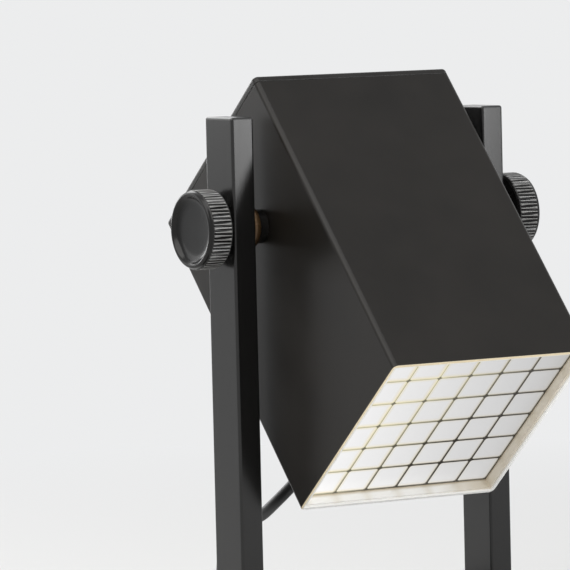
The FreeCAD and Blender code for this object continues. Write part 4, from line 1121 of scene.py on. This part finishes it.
# studio
studio = {
    "floorSize": 12.0,
    "floor": (0.76, 0.76, 0.756, 1),
    "paler": 1.02,               # gain of the floor's light patches
    "far": (0.84, 0.845, 0.85, 1),
    "fade": (0.22, 0.95),        # from the lamp, m
    "skyLight": 0.38,
    # name, place (m), aim (m), width and height (m), watts, colour
    "lamps": [
        ("key", (-1.15, -0.25, 1.35), (0, 0, 0.15), (1.4, 1.4), 19.5, (1.0, 0.985, 0.96)),
        ("fill", (1.05, -1.37, 1.15), (0, 0, 0.15), (0.55, 0.55), 5.0, (0.95, 0.97, 1.0)),
        ("card", (0.92, -1.50, 0.30), (0, 0, 0.22), (0.36, 0.40), 4.0, (1.0, 1.0, 1.0)),
        ("side", (-0.72, 1.00, 0.55), (-0.07, 0, 0.20), (0.7, 0.7), 2.0, (1.0, 1.0, 1.0)),
        ("strip", (-0.22, 1.70, 0.33), (-0.08, 0, 0.19), (0.5, 0.40), 3.8, (1.0, 1.0, 1.0)),
        ("rim", (0.1, 1.5, 1.1), (0, 0, 0.18), (1.2, 0.6), 7.0, (1.0, 1.0, 1.0)),
        ("top", (-0.05, -0.35, 1.6), (0, 0, 0.18), (0.8, 0.8), 5.5, (1.0, 1.0, 1.0)),
    ],
}


def seenDirectly(tree):
    # 1 for what the camera sees, also in metal and through glass
    rays = addNode(tree, "LightPath")
    seen = arithmetic(tree, "MAXIMUM", rays.outputs["Is Camera Ray"], rays.outputs["Is Glossy Ray"])
    return arithmetic(tree, "MAXIMUM", seen, rays.outputs["Is Transmission Ray"])


def makeFloor():
    shape = bmesh.new()
    bmesh.ops.create_grid(shape, x_segments=2, y_segments=2, size=studio["floorSize"] / 2)
    floor = makePiece("floor", shape)
    finish, tree, shader = newFinish("floor paper")
    point = objectPoint(tree)
    pale = studio["floor"]
    paler = tuple(value * studio["paler"] for value in pale[:3]) + (1,)
    patches = blendColours(tree, noise(tree, point, scale=3.0), pale, paler)
    feed(tree, shader, {"Base Color": patches, "Roughness": 0.9, "Specular IOR Level": 0.1})
    distance = addNode(tree, "VectorMath", {"Vector": point}, operation="LENGTH")
    away = ramp(tree, distance.outputs["Value"], *studio["fade"])
    horizon = addNode(tree, "Emission", {"Color": studio["far"], "Strength": 1.0})
    away = arithmetic(tree, "MULTIPLY", away, seenDirectly(tree))
    faded = addNode(tree, "MixShader", {0: away, 1: shader.outputs["BSDF"], 2: horizon.outputs["Emission"]})
    feed(tree, tree.nodes["Material Output"], {"Surface": faded.outputs["Shader"]})
    floor.data.materials.append(finish)


def makeStudio():
    makeFloor()
    for name, place, aim, size, watts, colour in studio["lamps"]:
        data = bpy.data.lights.new(name, "AREA")
        data.shape = "RECTANGLE"
        data.size, data.size_y = size
        data.energy = watts
        data.color = colour
        lamp = bpy.data.objects.new(name, data)
        bpy.context.scene.collection.objects.link(lamp)
        direction = Vector(aim) - Vector(place)
        lamp.visible_camera = False
        turn = direction.to_track_quat("-Z", "Y").to_matrix().to_4x4()
        lamp.matrix_world = Matrix.Translation(place) @ turn
    world = bpy.data.worlds.new("studio")
    bpy.context.scene.world = world
    world.use_nodes = True
    tree = world.node_tree
    strength = spread(tree, seenDirectly(tree), 0.0, 1.0, studio["skyLight"], 1.0)
    feed(tree, tree.nodes["Background"], {"Color": studio["far"], "Strength": strength})
    bpy.context.scene.view_settings.view_transform = "Standard"


makeCamera()
glandFinish = mouldedFinish("gland plastic", glandPlastic)
makeLead()
makeGlands(glandFinish)
print("camera, lead and glands made")
makeCasing()
makeRearCover()
makeScrews("rearScrews", coverScrewPlaces(), Vector((0, 1, 0)),
           turnedFinish("screw metal", darkSteel, (0, 0, 0), (0, 0, 0)),
           "head", "rear_cover_screws", headPlace)
print("head casing and cover made")
postFinish = brushedFinish("post metal", postMetal)
ringFinishes = {
    "knob_washer": (turnedFinish("washer metal", washerMetal, pivot, (0, 0, 0)), "washer_dark", "side_knob"),
    "friction_washer": (turnedFinish("washer bronze", agedBronze, pivot, (0, 0, 0)), "washer_brass", "head"),
    "spacer": (turnedFinish("spacer metal", spacerMetal, pivot, (0, 0, 0)), "spacer_black", "head"),
}
for side, word in ((-1, "left"), (1, "right")):
    makePost(word, postFinish)
    makeKnob(side, word)
    makePivotRings(side, word, ringFinishes)
print("posts, knobs and pivot rings made")
makeBase()
makeSwitch()
makeSpring(brushedFinish("spring steel", cleanSteel))
makeInlet()
makeScrews("coverScrews", bottomScrewPlaces(), Vector((0, 0, -1)),
           turnedFinish("cover screw metal", darkSteel, (0, 0, 0), (0, 0, 0)),
           "stand", "cover_screws")
print("base, switch and inlet made")
finishFrameNodes()
makeStudio()
print("finishes and studio made")
